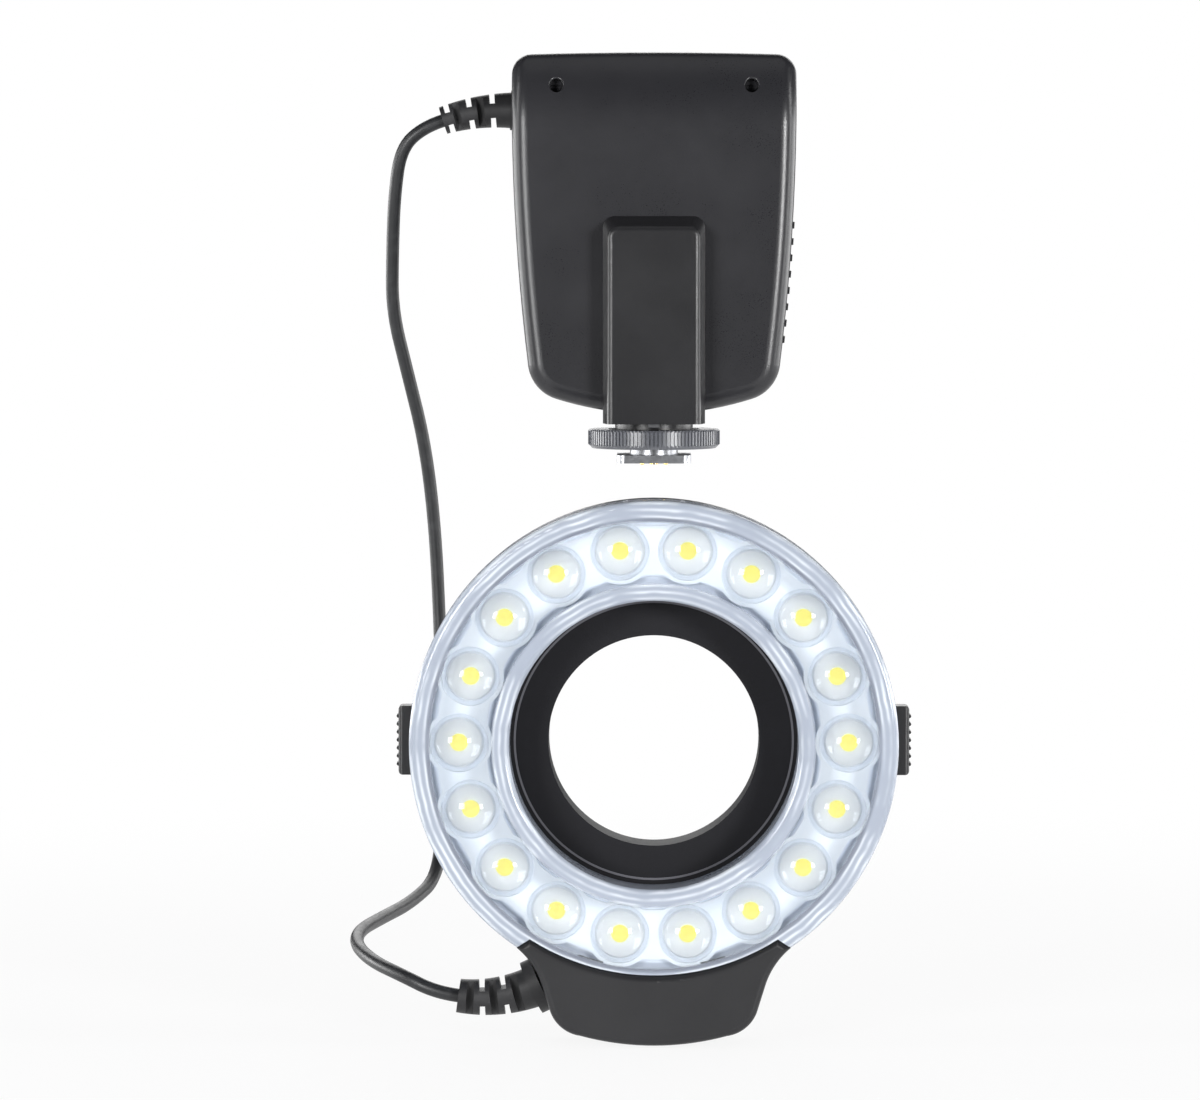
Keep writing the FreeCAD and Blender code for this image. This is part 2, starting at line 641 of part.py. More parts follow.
TRAY_BOTTOM_Z = CELL_HEIGHTS[0] - TRAY_HALF_DEPTH
TRAY_TOP_Z = CELL_HEIGHTS[-1] + TRAY_HALF_DEPTH
TRAY_LEFT_X = CELL_LEFT_X - TRAY_END_GAP - TRAY_END_WALL
TRAY_RIGHT_X = CELL_RIGHT_X + TRAY_MOUTH_LIP
TRAY_FRONT_Y = CELL_Y - TRAY_HALF_DEPTH
TRAY_REAR_Y = CELL_Y + TRAY_HALF_DEPTH
SCREW_X_PLACES = (-CASE_SCREW_X, CASE_SCREW_X)
SCREW_HEAD_Y = CASE_FRONT_Y + SCREW_WELL_FLOOR
BRACKET_SCREW_PLACES = [
    (side * BRACKET_SCREW_X, CASE_BOTTOM_Z + rise) for side in (-1, 1) for rise in BRACKET_SCREW_RISES
]
DRIVER_POST_PLACES = [
    (side * (DRIVER_BOARD_HALF_WIDTH - 2 * BOARD_POST_RADIUS), z)
    for side in (-1, 1)
    for z in (
        DRIVER_BOARD_BOTTOM_Z + 2 * BOARD_POST_RADIUS,
        DRIVER_BOARD_BOTTOM_Z + DRIVER_BOARD_HEIGHT - 2 * BOARD_POST_RADIUS,
    )
]
CONTROL_POST_PLACES = [
    (side * (CONTROL_BOARD_HALF_WIDTH - 2 * BOARD_POST_RADIUS), z)
    for side in (-1, 1)
    for z in (
        CELL_FIRST_Z - SPACER_BELOW_FIRST_CELL,
        CELL_FIRST_Z + (CELL_COUNT - 1) * CELL_PITCH + SPACER_ABOVE_LAST_CELL,
    )
]
BUTTON_PLACES = {
    "mode_button": (-BUTTON_PITCH_X, BUTTON_ROW_Z + BUTTON_PITCH_Z),
    "lamp_button": (0.0, BUTTON_ROW_Z + BUTTON_PITCH_Z),
    "test_button": (BUTTON_PITCH_X, BUTTON_ROW_Z + BUTTON_PITCH_Z),
    "minus_button": (-BUTTON_PITCH_X, BUTTON_ROW_Z),
    "power_button": (0.0, BUTTON_ROW_Z),
    "plus_button": (BUTTON_PITCH_X, BUTTON_ROW_Z),
}
PILOT_Z = BUTTON_ROW_Z + BUTTON_PITCH_Z


def slotted_screw(head_at, direction, head_radius, head_height, shank_radius, shank_length):
    """A slotted screw: the head's outer face is centred at head_at and the shank points along direction."""
    head = Part.makeCylinder(head_radius, head_height, head_at, direction)
    shank = Part.makeCylinder(shank_radius, head_height + shank_length, head_at, direction)
    slot = Part.makeBox(3 * head_radius, SCREW_SLOT_WIDTH, 2 * SCREW_SLOT_DEPTH)
    slot.translate(V(-1.5 * head_radius, -SCREW_SLOT_WIDTH / 2, -SCREW_SLOT_DEPTH))
    slot.Placement = FreeCAD.Placement(head_at, FreeCAD.Rotation(AXIS_Z, direction)).multiply(slot.Placement)
    return head.fuse(shank).cut(slot)


def make_front_shell():
    """The broad face: walls forward of the split, screw wells, and posts for the driver board."""
    front_half = box((-CASE_REACH, CASE_REACH), (CASE_FRONT_Y - 1, CASE_SPLIT_Y), (CASE_LOW_Z, CASE_HIGH_Z))
    shell = CASE_SKIN.common(front_half)
    added = []
    removed = []
    for x in SCREW_X_PLACES:
        post = rod_y(x, CASE_SCREW_Z, CASE_FRONT_Y, CASE_SPLIT_Y, SCREW_POST_RADIUS)
        added.append(post.common(CASE_SOLID))
        removed.append(rod_y(x, CASE_SCREW_Z, CASE_FRONT_Y - 1, SCREW_HEAD_Y, SCREW_WELL_RADIUS))
        shank = SCREW_SHANK_RADIUS + SHANK_CLEARANCE
        removed.append(rod_y(x, CASE_SCREW_Z, SCREW_HEAD_Y - 1, CASE_SPLIT_Y + 1, shank))
        head = SCREW_HEAD_RADIUS + SHANK_CLEARANCE
        removed.append(rod_y(x, CASE_SCREW_Z, SCREW_HEAD_Y - 1, SCREW_HEAD_Y + SCREW_HEAD_HEIGHT, head))
    for x, z in DRIVER_POST_PLACES:
        added.append(rod_y(x, z, INNER_FRONT_Y, DRIVER_BOARD_Y, BOARD_POST_RADIUS))
    for x, z in BRACKET_SCREW_PLACES:
        removed.append(rod_y(x, z, CASE_FRONT_Y - 1, INNER_FRONT_Y + 1, SCREW_SHANK_RADIUS + SHANK_CLEARANCE))
    shell = joined([shell] + added).cut(group(removed))
    return shell.makeFillet(SCREW_WELL_RIM, well_rims(shell))


def well_rims(shell):
    """The edges where the two screw wells open on the brow."""
    rims = []
    for edge in shell.Edges:
        bounds = edge.BoundBox
        for x in SCREW_X_PLACES:
            near_x = abs(bounds.Center.x - x) < SCREW_WELL_RADIUS
            near_z = abs(bounds.Center.z - CASE_SCREW_Z) < SCREW_WELL_RADIUS
            outside = bounds.YMax < SCREW_HEAD_Y - SCREW_WELL_RIM
            if near_x and near_z and outside and bounds.XLength > SCREW_WELL_RADIUS / 2:
                rims.append(edge)
    return rims


def make_rear_shell():
    """The tub: everything behind the split, with the door's notch, the hinge ears and the rear openings."""
    rear_half = box((-CASE_REACH, CASE_REACH), (CASE_SPLIT_Y, CASE_REAR_Y + 1), (CASE_LOW_Z, CASE_HIGH_Z))
    shell = CASE_SKIN.common(rear_half)
    added = []
    for x in SCREW_X_PLACES:
        post = rod_y(x, CASE_SCREW_Z, CASE_SPLIT_Y, INNER_REAR_Y + CASE_WALL / 2, SCREW_POST_RADIUS)
        added.append(post)
    ear_top = DOOR_PIVOT_Z + HINGE_PIN_RADIUS + EAR_MARGIN
    ear_low = DOOR_PIVOT_Z - DOOR_SLIDE - HINGE_PIN_RADIUS - EAR_MARGIN
    for y_start in (EAR_FRONT_Y, DOOR_REAR_Y):
        ear = box((DOOR_INNER_X, CASE_REACH), (y_start, y_start + EAR_THICKNESS), (ear_low, ear_top))
        added.append(ear.common(CASE_SOLID))
    shell = joined([shell] + added)
    removed = [box((DOOR_INNER_X, CASE_REACH), (DOOR_FRONT_Y, DOOR_REAR_Y), (CASE_LOW_Z, DOOR_TOP_Z))]
    play = HINGE_PIN_RADIUS + LINK_PLAY
    slot_low = DOOR_PIVOT_Z - DOOR_SLIDE
    for y_start in (EAR_FRONT_Y, DOOR_REAR_Y):
        y_end = y_start + EAR_THICKNESS
        removed.append(rod_y(DOOR_PIVOT_X, DOOR_PIVOT_Z, y_start - 1, y_end + 1, play))
        removed.append(rod_y(DOOR_PIVOT_X, slot_low, y_start - 1, y_end + 1, play))
        x_range = (DOOR_PIVOT_X - play, DOOR_PIVOT_X + play)
        removed.append(box(x_range, (y_start - 1, y_end + 1), (slot_low, DOOR_PIVOT_Z)))
    for x in SCREW_X_PLACES:
        y_end = SCREW_HEAD_Y + SCREW_HEAD_HEIGHT + SCREW_SHANK_LENGTH + SHANK_CLEARANCE
        removed.append(rod_y(x, CASE_SCREW_Z, CASE_SPLIT_Y - 1, y_end, SCREW_SHANK_RADIUS))
    half_w = WINDOW_WIDTH / 2 + WINDOW_CLEARANCE
    half_h = WINDOW_HEIGHT / 2 + WINDOW_CLEARANCE
    window_y = CASE_REAR_Y - WINDOW_THICKNESS
    window_z = (WINDOW_Z - half_h, WINDOW_Z + half_h)
    removed.append(box((-half_w, half_w), (window_y, CASE_REAR_Y + 1), window_z))
    half_w = WINDOW_WIDTH / 2 - WINDOW_LEDGE
    half_h = WINDOW_HEIGHT / 2 - WINDOW_LEDGE
    view_z = (WINDOW_Z - half_h, WINDOW_Z + half_h)
    removed.append(box((-half_w, half_w), (INNER_REAR_Y - 1, CASE_REAR_Y + 1), view_z))
    for x, z in BUTTON_PLACES.values():
        removed.append(rod_y(x, z, INNER_REAR_Y - 1, CASE_REAR_Y + 1, BUTTON_RADIUS + BUTTON_CLEARANCE))
    removed.append(rod_y(PILOT_X, PILOT_Z, INNER_REAR_Y - 1, CASE_REAR_Y + 1, PILOT_RADIUS + PILOT_CLEARANCE))
    removed.append(relief_hole("controller"))
    return shell.cut(group(removed))


def make_case_screws():
    """The two screws at the bottom of the deep wells in the face."""
    screws = []
    for x in SCREW_X_PLACES:
        at = V(x, SCREW_HEAD_Y, CASE_SCREW_Z)
        screw = slotted_screw(
            at, AXIS_Y, SCREW_HEAD_RADIUS, SCREW_HEAD_HEIGHT, SCREW_SHANK_RADIUS, SCREW_SHANK_LENGTH
        )
        screws.append(screw)
    return group(screws)


def make_battery_tray():
    """The moulded block that holds the four cells, open towards the door."""
    block = box((TRAY_LEFT_X, TRAY_RIGHT_X), (TRAY_FRONT_Y, TRAY_REAR_Y), (TRAY_BOTTOM_Z, TRAY_TOP_Z))
    bores = []
    for z in CELL_HEIGHTS:
        bores.append(rod_x(CELL_Y, z, TRAY_LEFT_X + TRAY_END_WALL, TRAY_RIGHT_X + 1, CELL_BORE))
    return block.cut(group(bores))


def make_cells():
    """Four AA cells, alternately pointing left and right."""
    cells = []
    for index, z in enumerate(CELL_HEIGHTS):
        can = rod_x(CELL_Y, z, CELL_LEFT_X, CELL_RIGHT_X - CELL_NUB_LENGTH, CELL_RADIUS)
        nub = rod_x(CELL_Y, z, CELL_RIGHT_X - CELL_NUB_LENGTH, CELL_RIGHT_X, CELL_NUB_RADIUS)
        cell = can.fuse(nub)
        if index % 2:
            middle = V((CELL_LEFT_X + CELL_RIGHT_X) / 2, CELL_Y, z)
            cell = cell.rotate(middle, AXIS_Z, HALF_TURN)
        cells.append(cell)
    return group(cells)


def contact_bump(x_flat, x_tip, z):
    """The round bump of a contact strip, from the strip to the end of a cell."""
    start = min(x_flat, x_tip)
    return rod_x(CELL_Y, z, start, max(x_flat, x_tip), CELL_NUB_RADIUS)


def make_inner_contacts():
    """Contact strips on the tray's closed end, one for each cell."""
    strips = []
    wall_x = TRAY_LEFT_X + TRAY_END_WALL
    for z in CELL_HEIGHTS:
        pad = rod_x(CELL_Y, z, wall_x, wall_x + CONTACT_THICKNESS, CELL_RADIUS - 1)
        bump = contact_bump(wall_x, CELL_LEFT_X, z)
        strips.append(pad.fuse(bump))
    return group(strips)


def make_door():
    """The side door: a slice of the case wall with grip ribs, inner ribs for its contacts and knuckles."""
    y_range = (DOOR_FRONT_Y + DOOR_GAP, DOOR_REAR_Y - DOOR_GAP)
    z_range = (DOOR_BOTTOM_Z, DOOR_TOP_Z - DOOR_GAP)
    slab = CASE_SKIN.common(box((DOOR_INNER_X + DOOR_GAP, CASE_REACH), y_range, z_range))
    parts = [slab]
    ribs_body = case_block(-DOOR_RIB_PROUD, CASE_FRONT_ROUND, CASE_REAR_ROUND).cut(CASE_HOLLOW)
    for index in range(DOOR_RIB_COUNT):
        z = DOOR_RIB_FIRST_Z + index * DOOR_RIB_PITCH
        z_limits = (z - DOOR_RIB_HEIGHT / 2, z + DOOR_RIB_HEIGHT / 2)
        rib_y = (y_range[0] + CASE_WALL / 2, y_range[1] - CASE_WALL / 2)
        parts.append(ribs_body.common(box((DOOR_PIVOT_X, CASE_REACH), rib_y, z_limits)))
    inner_y = (DOOR_FRONT_Y + CASE_WALL, DOOR_REAR_Y - CASE_WALL)
    half = DOOR_RIB_INNER_THICKNESS / 2
    contact_x = DOOR_CONTACT_X + CONTACT_THICKNESS
    for z in door_rib_heights():
        rib = box((contact_x, CASE_HALF_WIDTH), inner_y, (z - half, z + half))
        parts.append(rib.common(CASE_SOLID))
    knuckles = []
    bores = []
    for y_start in (y_range[0], y_range[1] - KNUCKLE_LENGTH):
        y_end = y_start + KNUCKLE_LENGTH
        knuckles.append(rod_y(DOOR_PIVOT_X, DOOR_PIVOT_Z, y_start, y_end, KNUCKLE_RADIUS))
        bore_radius = HINGE_PIN_RADIUS + HINGE_RUNNING
        bores.append(rod_y(DOOR_PIVOT_X, DOOR_PIVOT_Z, y_start - 1, y_end + 1, bore_radius))
    pocket_start = y_range[0] + KNUCKLE_LENGTH
    pocket_end = y_range[1] - KNUCKLE_LENGTH
    pocket = rod_y(DOOR_PIVOT_X, DOOR_PIVOT_Z, pocket_start, pocket_end, KNUCKLE_RADIUS + HINGE_RUNNING)
    return joined(parts + knuckles).cut(group(bores + [pocket]))


def door_rib_heights():
    """Heights of the door's inner ribs: between the cells, where the contact plates rest."""
    low, upper = CELL_HEIGHTS[0], CELL_HEIGHTS[-1]
    quarter = CELL_PITCH / 2
    return (low + quarter, upper - quarter)


def make_door_contacts():
    """Two plates on the door, each joining the ends of two cells."""
    plates = []
    for first in range(0, CELL_COUNT, 2):
        low = CELL_HEIGHTS[first]
        high = CELL_HEIGHTS[first + 1]
        y_range = (CELL_Y - CELL_NUB_RADIUS - 1, CELL_Y + CELL_NUB_RADIUS + 1)
        z_range = (low - CELL_NUB_RADIUS - 1, high + CELL_NUB_RADIUS + 1)
        plate = box((DOOR_CONTACT_X, DOOR_CONTACT_X + CONTACT_THICKNESS), y_range, z_range)
        for z in (low, high):
            plate = plate.fuse(contact_bump(DOOR_CONTACT_X, DOOR_CONTACT_X - CELL_NUB_LENGTH, z))
        plates.append(plate)
    return group(plates)


def make_hinge_pin():
    """The door's hinge pin, whose ends slide in the shell's slots."""
    y_start = EAR_FRONT_Y + KNUCKLE_GAP
    y_end = DOOR_REAR_Y + EAR_THICKNESS - KNUCKLE_GAP
    return rod_y(DOOR_PIVOT_X, DOOR_PIVOT_Z, y_start, y_end, HINGE_PIN_RADIUS)


def make_door_link():
    """The sleeve on the hinge pin between the door's knuckles."""
    y_start = DOOR_FRONT_Y + DOOR_GAP + KNUCKLE_LENGTH + KNUCKLE_GAP
    y_end = DOOR_REAR_Y - DOOR_GAP - KNUCKLE_LENGTH - KNUCKLE_GAP
    sleeve = rod_y(DOOR_PIVOT_X, DOOR_PIVOT_Z, y_start, y_end, KNUCKLE_RADIUS - 2 * HINGE_RUNNING)
    return sleeve.cut(rod_y(DOOR_PIVOT_X, DOOR_PIVOT_Z, y_start - 1, y_end + 1, HINGE_PIN_RADIUS))


# Boards, display and controls

def board(y_start, half_width, bottom_z, height, holes):
    """A flat circuit board with a hole over each of its posts."""
    y_end = y_start + BOARD_THICKNESS
    plate = box((-half_width, half_width), (y_start, y_end), (bottom_z, bottom_z + height))
    cuts = [rod_y(x, z, y_start - 1, y_end + 1, BOARD_POST_RADIUS / 2) for x, z in holes]
    return plate.cut(group(cuts))


def make_capacitors():
    """Two storage capacitors lying across the case above the cells."""
    z = TRAY_TOP_Z + CAPACITOR_SEAT + CAPACITOR_RADIUS
    cans = []
    for x in (-CAPACITOR_LENGTH - CAPACITOR_GAP / 2, CAPACITOR_GAP / 2):
        cans.append(rod_x(CELL_Y, z, x, x + CAPACITOR_LENGTH, CAPACITOR_RADIUS))
    return group(cans)


def make_choke():
    """The driver's choke: a low drum on the front board."""
    z = DRIVER_BOARD_BOTTOM_Z + DRIVER_BOARD_HEIGHT / 2
    start = DRIVER_BOARD_Y + BOARD_THICKNESS
    drum = rod_y(CHOKE_X, z, start, start + CHOKE_HEIGHT, CHOKE_RADIUS)
    waist_low = start + CHOKE_HEIGHT / 3
    waist_high = start + 2 * CHOKE_HEIGHT / 3
    outer = rod_y(CHOKE_X, z, waist_low, waist_high, CHOKE_RADIUS)
    return drum.cut(outer.cut(rod_y(CHOKE_X, z, waist_low, waist_high, CHOKE_RADIUS * 0.7)))


def make_board_spacers():
    """Sleeves between the battery tray and the control board."""
    sleeves = []
    for x, z in CONTROL_POST_PLACES:
        rod = rod_y(x, z, TRAY_REAR_Y, CONTROL_BOARD_Y, BOARD_POST_RADIUS)
        sleeves.append(rod.cut(rod_y(x, z, TRAY_REAR_Y - 1, CONTROL_BOARD_Y + 1, BOARD_POST_RADIUS / 2)))
    return group(sleeves)


def make_display():
    """The display module between the control board and the window."""
    y_range = (CONTROL_BOARD_Y + BOARD_THICKNESS, INNER_REAR_Y - DISPLAY_GAP)
    z_range = (WINDOW_Z - DISPLAY_HEIGHT / 2, WINDOW_Z + DISPLAY_HEIGHT / 2)
    return box((-DISPLAY_WIDTH / 2, DISPLAY_WIDTH / 2), y_range, z_range)


def make_window():
    """The clear display window, flush with the rear wall."""
    x_range = (-WINDOW_WIDTH / 2, WINDOW_WIDTH / 2)
    z_range = (WINDOW_Z - WINDOW_HEIGHT / 2, WINDOW_Z + WINDOW_HEIGHT / 2)
    return box(x_range, (CASE_REAR_Y - WINDOW_THICKNESS, CASE_REAR_Y), z_range)


def make_button(x, z):
    """One rear button: a round cap through the wall and a flange that keeps it in."""
    flange_end = INNER_REAR_Y - BUTTON_FLANGE_GAP
    flange_start = flange_end - BUTTON_FLANGE_THICKNESS
    cap = rod_y(x, z, flange_start, CASE_REAR_Y + BUTTON_PROUD, BUTTON_RADIUS)
    cap = cap.makeFillet(BUTTON_CLEARANCE * 3, edges_on_plane(cap, "Y", CASE_REAR_Y + BUTTON_PROUD))
    return cap.fuse(rod_y(x, z, flange_start, flange_end, BUTTON_RADIUS + BUTTON_FLANGE)).removeSplitter()


def make_button_mat():
    """The soft mat behind the buttons, one dome under each."""
    start = CONTROL_BOARD_Y + BOARD_THICKNESS
    x_half = BUTTON_PITCH_X + 2 * BUTTON_RADIUS
    z_low = BUTTON_ROW_Z - BUTTON_RADIUS - BUTTON_FLANGE
    z_high = BUTTON_ROW_Z + BUTTON_PITCH_Z + BUTTON_RADIUS + BUTTON_FLANGE
    mat = box((-x_half, x_half), (start, start + BUTTON_MAT_THICKNESS), (z_low, z_high))
    flange_start = INNER_REAR_Y - BUTTON_FLANGE_GAP - BUTTON_FLANGE_THICKNESS
    dome_end = flange_start - BUTTON_TRAVEL - BUTTON_DOME_GAP
    domes = [rod_y(x, z, start, dome_end, BUTTON_DOME_RADIUS) for x, z in BUTTON_PLACES.values()]
    return joined([mat] + domes)


def make_pilot_lamp():
    """The pilot lamp's light guide, from the board to just proud of the rear wall."""
    board_face = CONTROL_BOARD_Y + BOARD_THICKNESS
    return rod_y(PILOT_X, PILOT_Z, board_face, CASE_REAR_Y + PILOT_CLEARANCE, PILOT_RADIUS)


# Bracket, foot, lock wheel and contacts

def bracket_section(y, half_width, top_z):
    """One rectangle of the bracket's drafted block."""
    corners = [
        V(-half_width, y, BRACKET_BOTTOM_Z),
        V(half_width, y, BRACKET_BOTTOM_Z),
        V(half_width, y, top_z),
        V(-half_width, y, top_z),
    ]
    return Part.makePolygon(corners + corners[:1])


def make_bracket():
    """The block that stands proud of the face and turns under the case to carry the foot."""
    top_z = CASE_BOTTOM_Z + BRACKET_TOP_RISE
    rear = bracket_section(CASE_FRONT_Y, BRACKET_HALF_WIDTH, top_z)
    front_half_width = BRACKET_HALF_WIDTH - BRACKET_SIDE_DRAFT
    front = bracket_section(BRACKET_FRONT_Y, front_half_width, top_z - BRACKET_TOP_DRAFT)
    block = Part.makeLoft([rear, front], True, True)
    corners = []
    for edge in block.Edges:
        if edge.BoundBox.ZMin > top_z - 2 * BRACKET_TOP_DRAFT and edge.BoundBox.YLength > BRACKET_PROUD / 2:
            if edge.BoundBox.XLength < BRACKET_HALF_WIDTH:
                corners.append(edge)
    block = block.makeFillet(BRACKET_CORNER_ROUND, corners)
    rounded = []
    for edge in edges_on_plane(block, "Y", BRACKET_FRONT_Y):
        if edge.BoundBox.ZMax > BRACKET_BOTTOM_Z + 1:
            rounded.append(edge)
    block = block.makeFillet(BRACKET_ROUND, rounded)
    inner_x = BRACKET_HALF_WIDTH - BRACKET_SIDE_DRAFT - BRACKET_WALL
    inner_z = (BRACKET_BOTTOM_Z + BRACKET_WALL, top_z - BRACKET_TOP_DRAFT - BRACKET_WALL)
    hollow = box((-inner_x, inner_x), (BRACKET_FRONT_Y + BRACKET_WALL, CASE_FRONT_Y), inner_z)
    posts = []
    pilots = []
    for x, z in BRACKET_SCREW_PLACES:
        posts.append(rod_y(x, z, BRACKET_FRONT_Y + BRACKET_WALL, CASE_FRONT_Y, BRACKET_POST_RADIUS))
        pilot_end = CASE_FRONT_Y - CASE_WALL - BRACKET_SCREW_LENGTH
        pilots.append(rod_y(x, z, pilot_end, CASE_FRONT_Y + 1, SCREW_SHANK_RADIUS))
    block = block.cut(hollow.cut(group(posts)))
    arm_top = CASE_BOTTOM_Z + CASE_WALL
    arm_x = (-BRACKET_ARM_RADIUS, BRACKET_ARM_RADIUS)
    arm = box(arm_x, (BRACKET_FRONT_Y + BRACKET_WALL, 0), (BRACKET_BOTTOM_Z, arm_top))
    arm = arm.fuse(rod_z(0, 0, BRACKET_BOTTOM_Z, arm_top, BRACKET_ARM_RADIUS))
    arm = arm.cut(CASE_SOLID)
    arm = arm.cut(box(arm_x, (BRACKET_FRONT_Y, CASE_FRONT_Y), (BRACKET_BOTTOM_Z + BRACKET_WALL, arm_top + 1)))
    seats = [rod_z(0, 0, BRACKET_BOTTOM_Z - 1, arm_top + 1, POST_RADIUS + POST_SEAT_CLEARANCE)]
    for x in (-FOOT_SCREW_X, FOOT_SCREW_X):
        seat_end = COLLAR_BOTTOM_Z + FOOT_SCREW_LENGTH
        seats.append(rod_z(x, 0, BRACKET_BOTTOM_Z - 1, seat_end, FOOT_SCREW_RADIUS))
    return joined([block, arm]).cut(group(seats + pilots))


def make_bracket_screws():
    """Screws from inside the case through its face into the bracket's posts."""
    screws = []
    for x, z in BRACKET_SCREW_PLACES:
        at = V(x, INNER_FRONT_Y + SCREW_HEAD_HEIGHT, z)
        length = CASE_WALL + BRACKET_SCREW_LENGTH
        head = (SCREW_HEAD_RADIUS, SCREW_HEAD_HEIGHT)
        screws.append(slotted_screw(at, AXIS_Y * -1, *head, SCREW_SHANK_RADIUS, length))
    return group(screws)


def make_collar():
    """The fixed collar above the lock wheel, screwed up into the bracket."""
    collar = tube_z(0, COLLAR_BOTTOM_Z, BRACKET_BOTTOM_Z, POST_RADIUS + POST_SEAT_CLEARANCE, COLLAR_RADIUS)
    cuts = [key_block(POST_SEAT_CLEARANCE)]
    for x in (-FOOT_SCREW_X, FOOT_SCREW_X):
        cuts.append(rod_z(x, 0, COLLAR_BOTTOM_Z - 1, BRACKET_BOTTOM_Z + 1, FOOT_SCREW_RADIUS))
        head_top = COLLAR_BOTTOM_Z + FOOT_SCREW_HEAD_HEIGHT
        cuts.append(rod_z(x, 0, COLLAR_BOTTOM_Z - 1, head_top, FOOT_SCREW_HEAD_RADIUS))
    return collar.cut(group(cuts))


def key_block(clearance):
    """The small key in the collar's front, or its slot when a clearance is given."""
    half = KEY_WIDTH / 2 + clearance
    y_front = -COLLAR_RADIUS - KEY_PROUD
    y_range = (y_front, y_front + KEY_DEPTH + clearance)
    return box((-half, half), y_range, (BRACKET_BOTTOM_Z - KEY_HEIGHT - clearance, BRACKET_BOTTOM_Z))


def make_foot_screws():
    """Two screws up through the collar into the bracket."""
    screws = []
    for x in (-FOOT_SCREW_X, FOOT_SCREW_X):
        head = rod_z(x, 0, COLLAR_BOTTOM_Z, COLLAR_BOTTOM_Z + FOOT_SCREW_HEAD_HEIGHT, FOOT_SCREW_HEAD_RADIUS)
        shank = rod_z(x, 0, COLLAR_BOTTOM_Z, COLLAR_BOTTOM_Z + FOOT_SCREW_LENGTH, FOOT_SCREW_RADIUS)
        screws.append(head.fuse(shank))
    return group(screws)


def make_foot():
    """The shoe foot: a flat plate with rounded corners and the threaded post above it."""
    plate = box((-FOOT_WIDTH / 2, FOOT_WIDTH / 2), (-FOOT_LENGTH / 2, FOOT_LENGTH / 2), (0, FOOT_THICKNESS))
    uprights = [edge for edge in plate.Edges if edge.BoundBox.ZLength > FOOT_THICKNESS / 2]
    plate = plate.makeFillet(FOOT_CORNER, uprights)
    post_top = BRACKET_BOTTOM_Z + CASE_WALL
    foot = plate.fuse(rod_z(0, 0, 0, post_top, POST_RADIUS))
    return foot.cut(rod_z(0, 0, -1, post_top + 1, CORE_RADIUS)).removeSplitter()


def side_pin_places():
    """Centres of the four small contact pins."""
    return [(x, y) for x in (-SIDE_PIN_X, SIDE_PIN_X) for y in (-SIDE_PIN_Y, SIDE_PIN_Y)]


def make_contact_core():
    """The insulating core of the post, bored for the five contact pins."""
    core = rod_z(0, 0, 0, BRACKET_BOTTOM_Z + CASE_WALL, CORE_RADIUS)
    bores = [rod_z(0, 0, -1, PIN_CAVITY_TOP, CENTRE_PIN_RADIUS + PIN_RUNNING)]
    for x, y in side_pin_places():
        bores.append(rod_z(x, y, -1, PIN_CAVITY_TOP, SIDE_PIN_RADIUS + PIN_RUNNING))
    return core.cut(group(bores))


def make_centre_pin():
    """The sprung centre contact."""
    return rod_z(0, 0, -PIN_PROUD, PIN_LENGTH - PIN_PROUD, CENTRE_PIN_RADIUS)


def make_side_pins():
    """The four sprung side contacts."""
    top = PIN_LENGTH - PIN_PROUD
    return group([rod_z(x, y, -PIN_PROUD, top, SIDE_PIN_RADIUS) for x, y in side_pin_places()])


def make_lock_wheel():
    """The knurled lock wheel, recessed above for the collar and below for the clamp plate."""
    wheel = rod_z(0, 0, WHEEL_BOTTOM_Z, WHEEL_TOP_Z, WHEEL_RADIUS)
    wheel = wheel.makeChamfer(WHEEL_CHAMFER, edges_on_plane(wheel, "Z", WHEEL_BOTTOM_Z))
    wheel = wheel.makeChamfer(WHEEL_TOP_CHAMFER, edges_on_plane(wheel, "Z", WHEEL_TOP_Z))
    cuts = [rod_z(0, 0, WHEEL_BOTTOM_Z - 1, WHEEL_TOP_Z + 1, POST_RADIUS + WHEEL_RUNNING)]
    recess = COLLAR_RADIUS + KEY_PROUD + WHEEL_RECESS_CLEARANCE
    cuts.append(rod_z(0, 0, WHEEL_TOP_Z - WHEEL_TOP_RECESS, WHEEL_TOP_Z + 1, recess))
    clamp_top = CLAMP_BOTTOM_Z + CLAMP_THICKNESS
    cuts.append(rod_z(0, 0, WHEEL_BOTTOM_Z - 1, clamp_top, CLAMP_RADIUS + CLAMP_SIDE_GAP))
    groove = box(
        (WHEEL_RADIUS - WHEEL_GROOVE_DEPTH, WHEEL_RADIUS + 1),
        (-WHEEL_GROOVE_WIDTH / 2, WHEEL_GROOVE_WIDTH / 2),
        (WHEEL_BOTTOM_Z - 1, WHEEL_TOP_Z + 1),
    )
    for index in range(WHEEL_GROOVES):
        turn = groove.copy()
        turn.rotate(V(0, 0, 0), AXIS_Z, index * FULL_TURN / WHEEL_GROOVES)
        cuts.append(turn)
    return wheel.cut(group(cuts))


def make_clamp_plate():
    """The plate that the wheel presses down on the shoe's rails."""
    top = CLAMP_BOTTOM_Z + CLAMP_THICKNESS
    return tube_z(0, CLAMP_BOTTOM_Z, top, POST_RADIUS + WHEEL_RUNNING, CLAMP_RADIUS)


# Strain reliefs and cord

